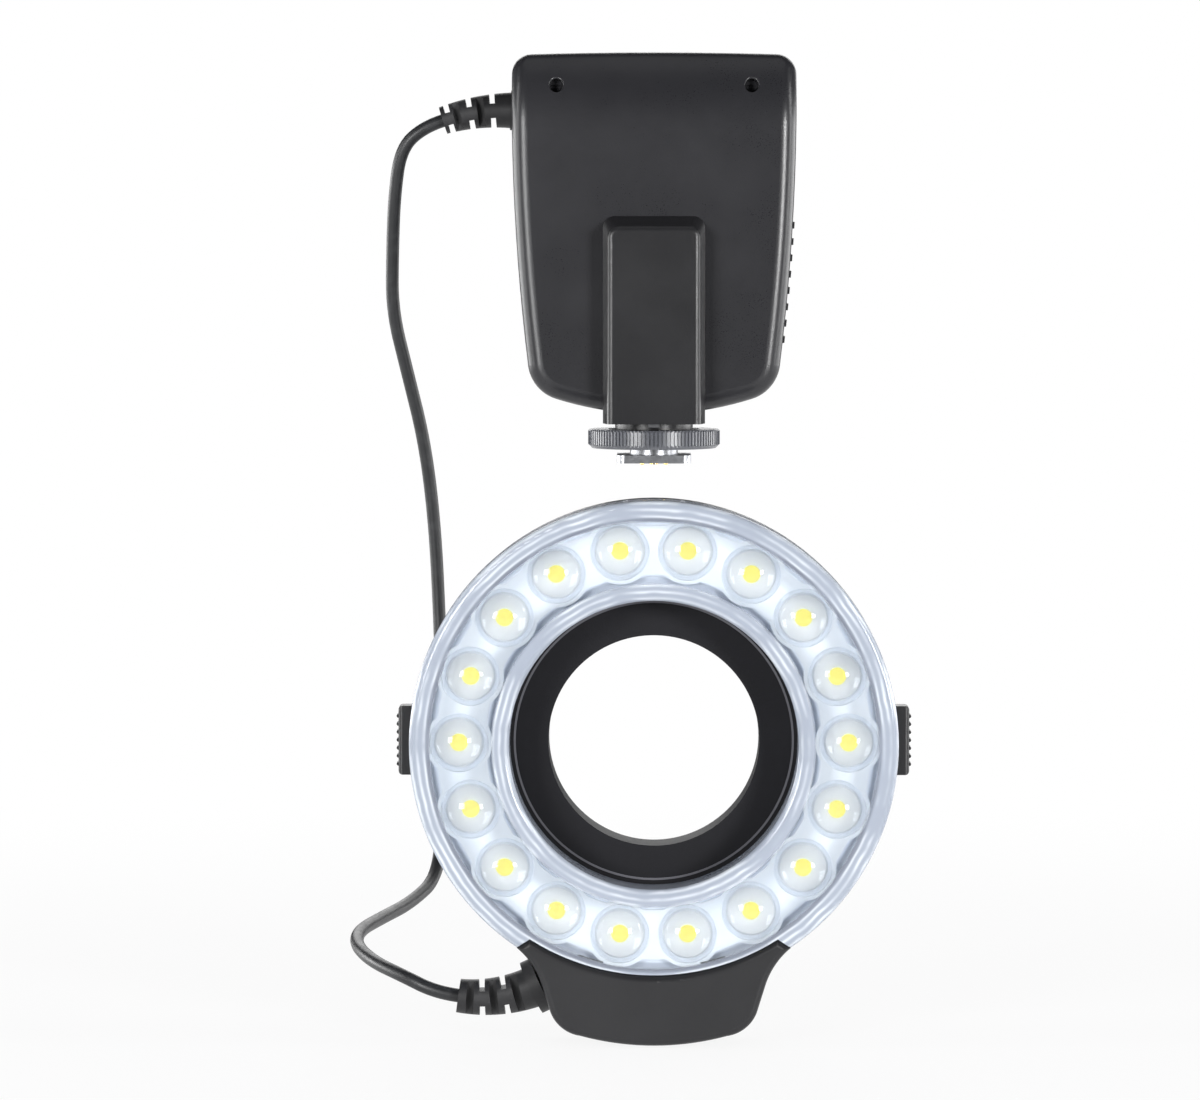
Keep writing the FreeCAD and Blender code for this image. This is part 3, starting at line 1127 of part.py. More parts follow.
def relief_axis(name, distance):
    """A point on a strain relief's bent axis and the direction there, at a distance from its root."""
    start = math.radians(HALF_TURN + RELIEF_START_DROOPS[name])
    end = math.radians(HALF_TURN + RELIEF_END_DROOPS[name])
    length = RELIEF_LENGTHS[name]
    angle = start + (end - start) * distance / length
    root = RELIEF_ROOTS[name]
    if distance <= 0:
        direction = V(math.cos(start), 0, math.sin(start))
        return root + direction * distance, direction
    middle = (start + angle) / 2
    chord = distance * math.cos((angle - start) / 4)
    point = root + V(math.cos(middle), 0, math.sin(middle)) * chord
    return point, V(math.cos(angle), 0, math.sin(angle))


def relief_radius(name, distance):
    """The relief's radius at a distance from its root, tapering evenly to its tip."""
    share = distance / RELIEF_LENGTHS[name]
    return RELIEF_ROOT_RADII[name] + (RELIEF_TIP_RADII[name] - RELIEF_ROOT_RADII[name]) * share


def relief_ring(name, distance, radius):
    """A circle square to the relief's axis."""
    point, direction = relief_axis(name, distance)
    return Part.Wire(Part.makeCircle(radius, point, direction))


def make_relief(name, wall):
    """A tapered strain relief: its flange follows the housing wall, and its slots let it bend."""
    length = RELIEF_LENGTHS[name]
    places = [length * index / (RELIEF_SECTIONS - 1) for index in range(RELIEF_SECTIONS)]
    body = Part.makeLoft([relief_ring(name, place, relief_radius(name, place)) for place in places], True)
    point, direction = relief_axis(name, 0)
    flange = Part.makeCylinder(RELIEF_FLANGE_RADII[name], RELIEF_FLANGE_LENGTHS[name], point, direction)
    neck_start = point - direction * RELIEF_INNER_LENGTH
    neck_length = RELIEF_INNER_LENGTH + RELIEF_NECK_SEAT
    neck = Part.makeCylinder(RELIEF_NECK_RADIUS, neck_length, neck_start, direction)
    cuts = []
    for share in RELIEF_NOTCH_PLACES[name]:
        cuts.extend(relief_slots(name, share * length, RELIEF_NOTCH_WIDTH, True))
    for share in RELIEF_BAND_PLACES[name]:
        cuts.extend(relief_slots(name, share * length, RELIEF_BAND_WIDTH, False))
    outside = joined([body, flange]).cut(group(cuts)).cut(wall)
    return joined([outside, neck])


def relief_slots(name, distance, width, upright):
    """Two slots facing each other at one place: above and below, or in front and behind."""
    point, direction = relief_axis(name, distance)
    radius = relief_radius(name, distance)
    size = 3 * radius
    slots = []
    for side in (-1, 1):
        slot = Part.makeBox(width, size, size, V(-width / 2, -size / 2, -size / 2))
        shift = side * (radius * (1 - RELIEF_NOTCH_SHARE) + size / 2)
        slot.translate(V(0, 0, shift) if upright else V(0, shift, 0))
        turn = FreeCAD.Rotation(AXIS_X, direction)
        slot.Placement = FreeCAD.Placement(point, turn).multiply(slot.Placement)
        slots.append(slot)
    return slots


def relief_hole(name):
    """The round hole in a housing wall for a relief's neck."""
    point, direction = relief_axis(name, 0)
    start = point - direction * (2 * RELIEF_INNER_LENGTH)
    radius = RELIEF_NECK_RADIUS + RELIEF_HOLE_CLEARANCE
    return Part.makeCylinder(radius, 3 * RELIEF_INNER_LENGTH, start, direction)


def cord_points():
    """Every point of the cord's route, from the controller's strain relief to the ring's."""
    first, first_way = relief_axis("controller", RELIEF_LENGTHS["controller"])
    last, last_way = relief_axis("ring", RELIEF_LENGTHS["ring"])
    start = [first, first + first_way * CORD_STUBS["controller"]]
    end = [last + last_way * CORD_STUBS["ring"], last]
    corner = V(-CASE_HALF_WIDTH, 0, CASE_TOP_Z)
    upper = [corner + V(*point) for point in CORD_UPPER]
    lower = [RING_AXIS + V(*point) for point in CORD_LOWER]
    return start + upper + lower + end


def make_cord():
    """The link cord: straight runs joined by arcs as large as their runs allow."""
    points = cord_points()
    edges = []
    radii = []
    here = points[0]
    for before, corner, after in zip(points, points[1:], points[2:]):
        run_in = corner - before
        run_out = after - corner
        half_turn = run_in.getAngle(run_out) / 2
        reach = CORD_ARC_SHARE * min(run_in.Length, run_out.Length)
        radii.append(reach / math.tan(half_turn))
        arc_start = corner - run_in.normalize() * reach
        arc_end = corner + run_out.normalize() * reach
        inward = (arc_start + arc_end) * 0.5 - corner
        to_centre = radii[-1] / math.cos(half_turn)
        middle = corner + inward.normalize() * (to_centre - radii[-1])
        edges.append(Part.LineSegment(here, arc_start).toShape())
        edges.append(Part.Arc(arc_start, middle, arc_end).toShape())
        here = arc_end
    edges.append(Part.LineSegment(here, points[-1]).toShape())
    path = Part.Wire(edges)
    start = Part.Wire(Part.makeCircle(CORD_DIAMETER / 2, points[0], points[1] - points[0]))
    cord = path.makePipeShell([start], True, False)
    section = math.pi * CORD_DIAMETER ** 2 / 4
    print("cord length %.1f, radii %s" % (path.Length, ", ".join("%.1f" % radius for radius in radii)))
    print("cord volume %.1f against section by length %.1f" % (cord.Volume, section * path.Length))
    return cord


# Ring head

DECK_FRONT_Y = COVER_REAR_Y
DECK_REAR_Y = DECK_FRONT_Y + DECK_THICKNESS
BACK_COVER_REAR_Y = HOUSING_REAR_Y + BACK_COVER_THICKNESS
LED_BOARD_FRONT_Y = DECK_FRONT_Y - BOARD_THICKNESS
EMITTER_FRONT_Y = LED_BOARD_FRONT_Y - EMITTER_HEIGHT
PHOSPHOR_FRONT_Y = EMITTER_FRONT_Y - PHOSPHOR_HEIGHT
LENS_BASE_Y = PHOSPHOR_FRONT_Y
ADAPTER_FRONT_Y = DECK_REAR_Y + ADAPTER_FRONT_GAP
ADAPTER_FLANGE_REAR_Y = ADAPTER_FRONT_Y + ADAPTER_FLANGE_THICKNESS
ADAPTER_HUB_REAR_Y = BACK_COVER_REAR_Y + ADAPTER_HUB_PROUD
ADAPTER_THREAD_REAR_Y = ADAPTER_HUB_REAR_Y + THREAD_LENGTH
LATCH_FRONT_Y = ADAPTER_FLANGE_REAR_Y + LATCH_FLANGE_GAP
LATCH_REAR_Y = LATCH_FRONT_Y + LATCH_THICKNESS
RELEASE_Y = (DECK_REAR_Y + HOUSING_REAR_Y) / 2
SPRING_POST_X = LATCH_OUTER_RADIUS + SPRING_POST_GAP
LED_PLACES = [on_ring(LED_CIRCLE_RADIUS, index * FULL_TURN / LED_COUNT) for index in range(LED_COUNT)]


def chin_place(inward, drop, side=1):
    """A place on the chin's outline, given from its upper tip on that side."""
    return side * (CHIN_TIP_X - inward), RING_AXIS.z + CHIN_TIP_Z - drop


def chin_half(side):
    """The outline's places on one side: flare, neck, waist, middle of the corner and its end."""
    return (
        chin_place(CHIN_FLARE_IN, CHIN_FLARE_DROP, side),
        chin_place(CHIN_NECK_IN, CHIN_NECK_DROP, side),
        chin_place(CHIN_WAIST_IN, CHIN_WAIST_DROP, side),
        chin_place(CHIN_CORNER_MID_IN, CHIN_CORNER_MID_DROP, side),
        chin_place(CHIN_CORNER_IN, CHIN_CORNER_DROP, side),
    )


def chin_face(lip_radius, growth):
    """The chin seen from the front, between a circle round the ring's axis and its own lower edge."""
    hump = on_ring(lip_radius, CHIN_HUMP_ANGLE)
    flare, neck, waist, corner_mid, corner = chin_half(1)
    far_flare, far_neck, far_waist, far_corner_mid, far_corner = chin_half(-1)
    steps = [
        (*flare, *neck),
        waist,
        (*corner_mid, *corner),
        (0.0, RING_AXIS.z + CHIN_BOTTOM_Z, *far_corner),
        (*far_corner_mid, *far_waist),
        far_neck,
        (*far_flare, *chin_place(0.0, 0.0, -1)),
        (-hump[0], hump[1]),
        (RING_AXIS.x, RING_AXIS.z - lip_radius, *hump),
        chin_place(0.0, 0.0),
    ]
    face = outline_xz(chin_place(0.0, 0.0), steps, 0.0)
    return face.makeOffset2D(growth) if growth else face


def chin_prism(lip_radius, growth, y_start, y_end):
    """The chin's outline as a solid between two depths."""
    face = chin_face(lip_radius, growth)
    face.translate(V(0, y_start, 0))
    return face.extrude(V(0, y_end - y_start, 0))


def ring_screw_places():
    """Centres of the back cover's screws: four round the ring and two in the chin."""
    round_ring = [on_ring(RING_SCREW_CIRCLE_RADIUS, angle) for angle in RING_SCREW_ANGLES]
    return round_ring + chin_post_places()


def chin_post_places():
    """Centres of the chin cover's two posts."""
    return [(side * CHIN_POST_X, RING_AXIS.z + CHIN_POST_Z) for side in (-1, 1)]


def make_front_cover():
    """The clear cover: a channel with a flat front and two skirts, cut away for the chin."""
    skin = ring_band(COVER_INNER_RADIUS, COVER_OUTER_RADIUS, RING_FRONT_Y, COVER_REAR_Y)
    skin = skin.makeFillet(COVER_ROUND, edges_on_plane(skin, "Y", RING_FRONT_Y))
    inner = COVER_INNER_RADIUS + COVER_WALL
    outer = COVER_OUTER_RADIUS - COVER_WALL
    skin = skin.cut(ring_band(inner, outer, RING_FRONT_Y + COVER_PLATE, COVER_REAR_Y + 1))
    return skin.cut(chin_prism(CHIN_LIP_RADIUS, CHIN_GAP, CHIN_FRONT_Y - 1, COVER_REAR_Y + 1))


def make_reflector_tray():
    """The white tray: a band with a scallop round every lens, standing on six small posts."""
    y_start = LENS_BASE_Y - TRAY_THICKNESS
    plate = ring_band(TRAY_BAND_INNER_RADIUS, TRAY_BAND_OUTER_RADIUS, y_start, LENS_BASE_Y)
    scallops = [rod_y(x, z, y_start, LENS_BASE_Y, TRAY_SCALLOP_RADIUS) for x, z in LED_PLACES]
    posts = []
    step = LED_COUNT // TRAY_POST_COUNT
    for index in range(0, LED_COUNT, step):
        x, z = on_ring(LED_CIRCLE_RADIUS, (index + 0.5) * FULL_TURN / LED_COUNT)
        posts.append(rod_y(x, z, LENS_BASE_Y, LED_BOARD_FRONT_Y, TRAY_POST_RADIUS))
    holes = []
    for x, z in LED_PLACES:
        holes.append(rod_y(x, z, y_start - 1, LENS_BASE_Y + 1, LENS_RADIUS + TRAY_LENS_CLEARANCE))
    return joined([plate] + scallops).cut(group(holes)).fuse(posts)


def make_led_board():
    """The ring-shaped board that carries the light sources, cut back where the chin passes."""
    disc = ring_band(LED_BOARD_INNER_RADIUS, LED_BOARD_OUTER_RADIUS, LED_BOARD_FRONT_Y, DECK_FRONT_Y)
    return disc.cut(chin_prism(CHIN_LIP_RADIUS, CHIN_GAP, LED_BOARD_FRONT_Y - 1, DECK_FRONT_Y + 1))


def make_emitters():
    """The white bodies of the light sources."""
    return group([rod_y(x, z, EMITTER_FRONT_Y, LED_BOARD_FRONT_Y, EMITTER_RADIUS) for x, z in LED_PLACES])


def make_phosphors():
    """The yellow phosphor dots on the light sources."""
    return group([rod_y(x, z, PHOSPHOR_FRONT_Y, EMITTER_FRONT_Y, PHOSPHOR_RADIUS) for x, z in LED_PLACES])


def make_lenses():
    """The clear dome lens over each light source."""
    lenses = []
    radius = (LENS_RADIUS ** 2 + LENS_DOME ** 2) / (2 * LENS_DOME)
    base = LENS_BASE_Y - LENS_FLANGE
    for x, z in LED_PLACES:
        flange = rod_y(x, z, base, LENS_BASE_Y, LENS_RADIUS)
        ball = Part.makeSphere(radius, V(x, base - LENS_DOME + radius, z))
        cap = ball.common(rod_y(x, z, base - 2 * LENS_DOME, base, 2 * LENS_RADIUS))
        lenses.append(flange.fuse(cap).removeSplitter())
    return group(lenses)


def release_window():
    """The opening in the housing wall for one release button, on the +X side."""
    half_z = RELEASE_HEIGHT / 2 + RELEASE_GAP
    half_y = RELEASE_DEPTH / 2 + RELEASE_GAP
    x_range = (RELEASE_FLANGE_X, HOUSING_RADIUS + 1)
    z_range = (RING_AXIS.z - half_z, RING_AXIS.z + half_z)
    return box(x_range, (RELEASE_Y - half_y, RELEASE_Y + half_y), z_range)


def on_left(shape):
    """A half-turned copy of a right-hand piece, for the other side of the ring."""
    other = shape.copy()
    other.rotate(RING_AXIS, AXIS_Y, HALF_TURN)
    return other


def make_housing():
    """The black rear housing: deck, side wall, chin tub, latch walls, pads and screw posts."""
    outer = joined([
        rod_y(RING_AXIS.x, RING_AXIS.z, DECK_FRONT_Y, HOUSING_REAR_Y, HOUSING_RADIUS),
        chin_prism(CHIN_ROOT_RADIUS, 0.0, DECK_FRONT_Y, HOUSING_REAR_Y),
    ])
    inner_radius = HOUSING_RADIUS - HOUSING_WALL
    inner = joined([
        rod_y(RING_AXIS.x, RING_AXIS.z, DECK_REAR_Y, HOUSING_REAR_Y + 1, inner_radius),
        chin_prism(CHIN_ROOT_RADIUS, -CHIN_WALL, DECK_FRONT_Y - 1, HOUSING_REAR_Y + 1).cut(
            rod_y(RING_AXIS.x, RING_AXIS.z, DECK_FRONT_Y - 2, DECK_REAR_Y, inner_radius)
        ),
    ])
    shell = outer.cut(inner)
    shell = shell.cut(rod_y(RING_AXIS.x, RING_AXIS.z, DECK_FRONT_Y - 1, DECK_REAR_Y + 1, LIP_INNER_RADIUS))
    wall_inner = ADAPTER_FLANGE_RADIUS + ADAPTER_SIDE_GAP
    added = [ring_band(wall_inner, wall_inner + LATCH_WALL, DECK_REAR_Y, ADAPTER_FLANGE_REAR_Y)]
    middle = (LATCH_INNER_RADIUS + LATCH_OUTER_RADIUS) / 2
    for angle in LATCH_PAD_ANGLES:
        x, z = on_ring(middle, angle)
        added.append(rod_y(x, z, DECK_REAR_Y, LATCH_FRONT_Y - LATCH_PAD_GAP, LATCH_PAD_RADIUS))
    for angle in RING_SCREW_ANGLES:
        x, z = on_ring(RING_SCREW_CIRCLE_RADIUS, angle)
        added.append(rod_y(x, z, DECK_REAR_Y, HOUSING_REAR_Y, RING_POST_RADIUS))
    post = box(
        (SPRING_POST_X, SPRING_POST_X + SPRING_POST_THICKNESS),
        (DECK_REAR_Y, LATCH_REAR_Y),
        (RING_AXIS.z - HOOK_FAR_Z, RING_AXIS.z - SPRING_NEAR_Z),
    )
    added.extend([post, on_left(post)])
    removed = [release_window(), on_left(release_window()), relief_hole("ring")]
    for x, z in ring_screw_places():
        removed.append(rod_y(x, z, HOUSING_REAR_Y - RING_SCREW_LENGTH, HOUSING_REAR_Y + 1, RING_SCREW_RADIUS))
    for x, z in chin_post_places():
        removed.append(rod_y(x, z, DECK_FRONT_Y - 1, HOUSING_REAR_Y + 1, RING_POST_RADIUS + CHIN_GAP))
    return joined([shell] + added).cut(group(removed))


def make_back_cover():
    """The flat cover behind the latch slides, with the adapter's opening."""
    plate = joined([
        rod_y(RING_AXIS.x, RING_AXIS.z, HOUSING_REAR_Y, BACK_COVER_REAR_Y, HOUSING_RADIUS),
        chin_prism(CHIN_ROOT_RADIUS, 0.0, HOUSING_REAR_Y, BACK_COVER_REAR_Y),
    ])
    added = []
    middle = (LATCH_INNER_RADIUS + LATCH_OUTER_RADIUS) / 2
    for angle in LATCH_PAD_ANGLES:
        x, z = on_ring(middle, angle)
        added.append(rod_y(x, z, LATCH_REAR_Y + LATCH_PAD_GAP, HOUSING_REAR_Y, LATCH_PAD_RADIUS))
    hole = ADAPTER_FLANGE_RADIUS + BACK_COVER_HOLE_GAP
    removed = [rod_y(RING_AXIS.x, RING_AXIS.z, HOUSING_REAR_Y - 1, BACK_COVER_REAR_Y + 1, hole)]
    for x, z in ring_screw_places():
        hole_radius = RING_SCREW_RADIUS + SHANK_CLEARANCE
        removed.append(rod_y(x, z, HOUSING_REAR_Y - 1, BACK_COVER_REAR_Y + 1, hole_radius))
        head_y = BACK_COVER_REAR_Y - RING_SCREW_HEAD_HEIGHT
        removed.append(rod_y(x, z, head_y, BACK_COVER_REAR_Y + 1, RING_SCREW_HEAD_RADIUS + SHANK_CLEARANCE))
    return joined([plate] + added).cut(group(removed))


def make_ring_screws():
    """Six screws through the back cover, four into the housing and two into the chin cover's posts."""
    screws = []
    for x, z in ring_screw_places():
        at = V(x, BACK_COVER_REAR_Y, z)
        length = BACK_COVER_THICKNESS - RING_SCREW_HEAD_HEIGHT + RING_SCREW_LENGTH
        screws.append(slotted_screw(
            at, AXIS_Y * -1, RING_SCREW_HEAD_RADIUS, RING_SCREW_HEAD_HEIGHT, RING_SCREW_RADIUS, length
        ))
    return group(screws)


def make_chin_cover():
    """The black front of the chin: rounded, hollow, with two long posts for the rear screws."""
    block = chin_prism(CHIN_LIP_RADIUS, 0.0, CHIN_FRONT_Y, DECK_FRONT_Y)
    block = block.makeFillet(CHIN_ROUND, edges_on_plane(block, "Y", CHIN_FRONT_Y))
    hollow = chin_prism(CHIN_LIP_RADIUS, -CHIN_WALL, CHIN_FRONT_Y + CHIN_WALL, DECK_FRONT_Y + 1)
    posts = []
    pilots = []
    for x, z in chin_post_places():
        posts.append(rod_y(x, z, CHIN_FRONT_Y + CHIN_WALL, HOUSING_REAR_Y, RING_POST_RADIUS))
        pilots.append(rod_y(x, z, HOUSING_REAR_Y - RING_SCREW_LENGTH, HOUSING_REAR_Y + 1, RING_SCREW_RADIUS))
    return joined([block.cut(hollow)] + posts).cut(group(pilots + [relief_hole("ring")]))


def make_adapter_ring():
    """The adapter: front flange with two raised lines, hub, and the plain-turned filter thread."""
    profile = [
        (ADAPTER_BORE_RADIUS, ADAPTER_FRONT_Y),
        (ADAPTER_FLANGE_RADIUS, ADAPTER_FRONT_Y),
        (ADAPTER_FLANGE_RADIUS, ADAPTER_FLANGE_REAR_Y),
        (ADAPTER_HUB_RADIUS, ADAPTER_FLANGE_REAR_Y),
        (ADAPTER_HUB_RADIUS, ADAPTER_HUB_REAR_Y),
        (THREAD_RADIUS, ADAPTER_HUB_REAR_Y),
        (THREAD_RADIUS, ADAPTER_THREAD_REAR_Y),
        (ADAPTER_BORE_RADIUS, ADAPTER_THREAD_REAR_Y),
    ]
    ring = turned(profile)
    grooves = []
    for radius in [ADAPTER_FLANGE_RADIUS - inset for inset in ADAPTER_LINE_INSETS]:
        y_end = ADAPTER_FRONT_Y + ADAPTER_LINE_DEPTH
        grooves.append(ring_band(radius - ADAPTER_LINE_WIDTH, radius, ADAPTER_FRONT_Y - 1, y_end))
    return ring.cut(group(grooves))


def make_latch_slide():
    """The right-hand latch slide: stem, arm over the top of the bore, and the hook on the far side."""
    low_z = RING_AXIS.z + HOOK_NEAR_Z
    high_z = RING_AXIS.z + HOUSING_RADIUS
    upper = box((-HOUSING_RADIUS, HOUSING_RADIUS), (LATCH_FRONT_Y, LATCH_REAR_Y), (low_z, high_z))
    arm = ring_band(LATCH_INNER_RADIUS, LATCH_OUTER_RADIUS, LATCH_FRONT_Y, LATCH_REAR_Y).common(upper)
    hook = ring_band(HOOK_TIP_RADIUS, LATCH_OUTER_RADIUS, LATCH_FRONT_Y, LATCH_REAR_Y)
    hook_z = (low_z, RING_AXIS.z + HOOK_FAR_Z)
    hook = hook.common(box((-HOUSING_RADIUS, 0), (LATCH_FRONT_Y, LATCH_REAR_Y), hook_z))
    stem_x = (LATCH_INNER_RADIUS + 1, RELEASE_FLANGE_X)
    stem_z = (RING_AXIS.z + STEM_NEAR_Z, RING_AXIS.z + STEM_FAR_Z)
    stem = box(stem_x, (LATCH_FRONT_Y, LATCH_REAR_Y), stem_z)
    return joined([arm, hook, stem])


def make_release_button():
    """The right-hand release button: a rounded block with upright ribs and a flange behind the wall."""
    half_z = RELEASE_HEIGHT / 2
    half_y = RELEASE_DEPTH / 2
    y_range = (RELEASE_Y - half_y, RELEASE_Y + half_y)
    face_x = RELEASE_REACH - RELEASE_RIB_RADIUS
    block = box((RELEASE_FLANGE_X, face_x), y_range, (RING_AXIS.z - half_z, RING_AXIS.z + half_z))
    block = block.makeFillet(RELEASE_CORNER, edges_on_plane(block, "X", face_x))
    flange_x = (RELEASE_FLANGE_X, RELEASE_FLANGE_X + RELEASE_FLANGE_THICKNESS)
    flange_z = half_z + RELEASE_FLANGE
    flange = box(flange_x, y_range, (RING_AXIS.z - flange_z, RING_AXIS.z + flange_z))
    ribs = []
    for index in range(RELEASE_RIB_COUNT):
        z = RING_AXIS.z + (index - (RELEASE_RIB_COUNT - 1) / 2) * RELEASE_RIB_PITCH
        rib_start = y_range[0] + RELEASE_CORNER
        ribs.append(rod_y(face_x, z, rib_start, y_range[1] - RELEASE_CORNER, RELEASE_RIB_RADIUS))
    return joined([block, flange] + ribs)


def make_latch_spring():
    """The bowed leaf spring between the left slide's hook and the housing's post, on the +X side."""
    near_z = RING_AXIS.z - SPRING_NEAR_Z
    far_z = RING_AXIS.z - HOOK_FAR_Z + SPRING_SEAT_GAP
    mid_z = (near_z + far_z) / 2
    apex_radius = (mid_z - RING_AXIS.z) ** 2
    apex = math.sqrt(LATCH_OUTER_RADIUS ** 2 - apex_radius) + SPRING_SEAT_GAP * 3
    seat = SPRING_POST_X - SPRING_SEAT_GAP
    steps = [
        (apex, mid_z, seat - SPRING_THICKNESS, near_z),
        (seat, near_z),
        (apex + SPRING_THICKNESS, mid_z, seat, far_z),
    ]
    steps.append((seat - SPRING_THICKNESS, far_z))
    leaf = outline_xz((seat - SPRING_THICKNESS, far_z), steps, LATCH_FRONT_Y)
    return leaf.extrude(V(0, LATCH_THICKNESS, 0))


# Assembly

def build():
    """Make every sub-part."""
    keep("front_shell", make_front_shell())
    keep("rear_shell", make_rear_shell())
    keep("case_screws", make_case_screws())
    keep("battery_tray", make_battery_tray())
    keep("battery_cells", make_cells())
    keep("inner_contacts", make_inner_contacts())
    keep("battery_door", make_door())
    keep("door_contacts", make_door_contacts())
    keep("door_hinge_pin", make_hinge_pin())
    keep("door_link", make_door_link())
    control_size = (CONTROL_BOARD_HALF_WIDTH, CONTROL_BOARD_BOTTOM_Z, CONTROL_BOARD_HEIGHT)
    keep("control_board", board(CONTROL_BOARD_Y, *control_size, CONTROL_POST_PLACES))
    driver_size = (DRIVER_BOARD_HALF_WIDTH, DRIVER_BOARD_BOTTOM_Z, DRIVER_BOARD_HEIGHT)
    keep("driver_board", board(DRIVER_BOARD_Y, *driver_size, DRIVER_POST_PLACES))
    keep("driver_choke", make_choke())
    keep("capacitors", make_capacitors())
    keep("board_spacers", make_board_spacers())
    keep("display_module", make_display())
    keep("display_window", make_window())
    keep("button_mat", make_button_mat())
    keep("pilot_lamp", make_pilot_lamp())
    for name, (x, z) in BUTTON_PLACES.items():
        keep(name, make_button(x, z))
    keep("foot_bracket", make_bracket())
    keep("bracket_screws", make_bracket_screws())
    keep("shoe_collar", make_collar())
    keep("collar_key", key_block(0.0))
    keep("collar_screws", make_foot_screws())
    keep("shoe_foot", make_foot())
    keep("contact_core", make_contact_core())
    keep("centre_contact_pin", make_centre_pin())
    keep("side_contact_pins", make_side_pins())
    keep("lock_wheel", make_lock_wheel())
    keep("clamp_plate", make_clamp_plate())
    keep("controller_strain_relief", make_relief("controller", CASE_SOLID))
    housing = keep("ring_housing", make_housing())
    keep("ring_back_cover", make_back_cover())
    keep("ring_front_cover", make_front_cover())
    keep("reflector_tray", make_reflector_tray())
    keep("led_board", make_led_board())
    keep("led_emitters", make_emitters())
    keep("led_phosphors", make_phosphors())
    keep("led_lenses", make_lenses())
    keep("ring_screws", make_ring_screws())
    chin = keep("chin_cover", make_chin_cover())
    chin_solid = chin_prism(CHIN_LIP_RADIUS, 0.0, CHIN_FRONT_Y, HOUSING_REAR_Y)
    keep("ring_strain_relief", make_relief("ring", joined([chin_solid, housing, chin])))
    keep("adapter_ring", make_adapter_ring())
    slide = make_latch_slide()
    button = make_release_button()
    spring = make_latch_spring()
    keep("latch_slide_right", slide)
    keep("latch_slide_left", on_left(slide))
    keep("release_button_right", button)
    keep("release_button_left", on_left(button))
    keep("latch_spring_left", spring)
    keep("latch_spring_right", on_left(spring))
    keep("link_cord", make_cord())


def write():
    """Write each sub-part as its own file."""
    os.makedirs("parts", exist_ok=True)
    for name, shape in NODES.items():
        shape.exportStep("parts/" + name + ".step")
        print("%-26s solids %2d  volume %10.1f" % (name, len(shape.Solids), shape.Volume))


build()
write()
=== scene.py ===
import logging
import math
from dataclasses import dataclass
from enum import Enum
from typing import Optional, Sequence

import bmesh
import bpy
from mathutils import Matrix, Vector


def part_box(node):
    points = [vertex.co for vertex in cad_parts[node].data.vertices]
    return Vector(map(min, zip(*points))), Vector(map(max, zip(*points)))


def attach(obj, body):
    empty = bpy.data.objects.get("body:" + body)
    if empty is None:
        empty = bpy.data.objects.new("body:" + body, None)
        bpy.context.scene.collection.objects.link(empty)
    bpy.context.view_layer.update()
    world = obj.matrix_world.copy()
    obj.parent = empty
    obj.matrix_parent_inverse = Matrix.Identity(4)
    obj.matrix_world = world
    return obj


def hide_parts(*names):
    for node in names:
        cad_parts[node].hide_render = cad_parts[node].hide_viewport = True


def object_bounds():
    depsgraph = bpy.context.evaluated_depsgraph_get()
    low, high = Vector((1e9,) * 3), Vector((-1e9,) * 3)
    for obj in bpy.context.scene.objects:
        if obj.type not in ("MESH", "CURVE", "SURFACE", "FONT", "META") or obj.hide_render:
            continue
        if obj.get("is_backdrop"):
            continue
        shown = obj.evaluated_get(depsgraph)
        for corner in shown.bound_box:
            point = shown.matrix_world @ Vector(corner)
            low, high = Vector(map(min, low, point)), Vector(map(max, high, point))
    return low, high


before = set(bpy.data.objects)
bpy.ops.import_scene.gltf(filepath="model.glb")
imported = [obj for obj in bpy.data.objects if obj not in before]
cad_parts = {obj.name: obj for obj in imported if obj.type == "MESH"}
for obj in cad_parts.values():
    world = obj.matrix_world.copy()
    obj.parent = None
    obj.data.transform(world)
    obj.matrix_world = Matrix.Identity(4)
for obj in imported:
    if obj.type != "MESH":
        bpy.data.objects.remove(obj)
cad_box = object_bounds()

log = logging.getLogger("ring_light")

Colour = tuple[float, float, float]
Place = tuple[float, float, float]
Span = tuple[float, float]
BLACK: Colour = (0.0, 0.0, 0.0)
WHITE: Colour = (1.0, 1.0, 1.0)
RING_AXIS_Z = -0.062
FLOOR_GAP = 0.0005
FULL_TURN = 360.0
HOOP_STEP = 3.75
LEAST_HOOP_STEPS = 6
WELD = 0.000001
NOISE_ROUGHNESS = 0.55
PLASTIC_IOR = 1.5
ACRYLIC_IOR = 1.49


def srgb(red: int, green: int, blue: int) -> Colour:
    """A colour that is written as a screen shows it, 0 to 255, in the shader's linear numbers."""
    steps = [channel / 255 for channel in (red, green, blue)]
    return tuple(c / 12.92 if c <= 0.04045 else ((c + 0.055) / 1.055) ** 2.4 for c in steps)


def at(across: float, up: float) -> Vector:
    """A step to the right and up, as the front view shows it."""
    return Vector((across, 0.0, up))


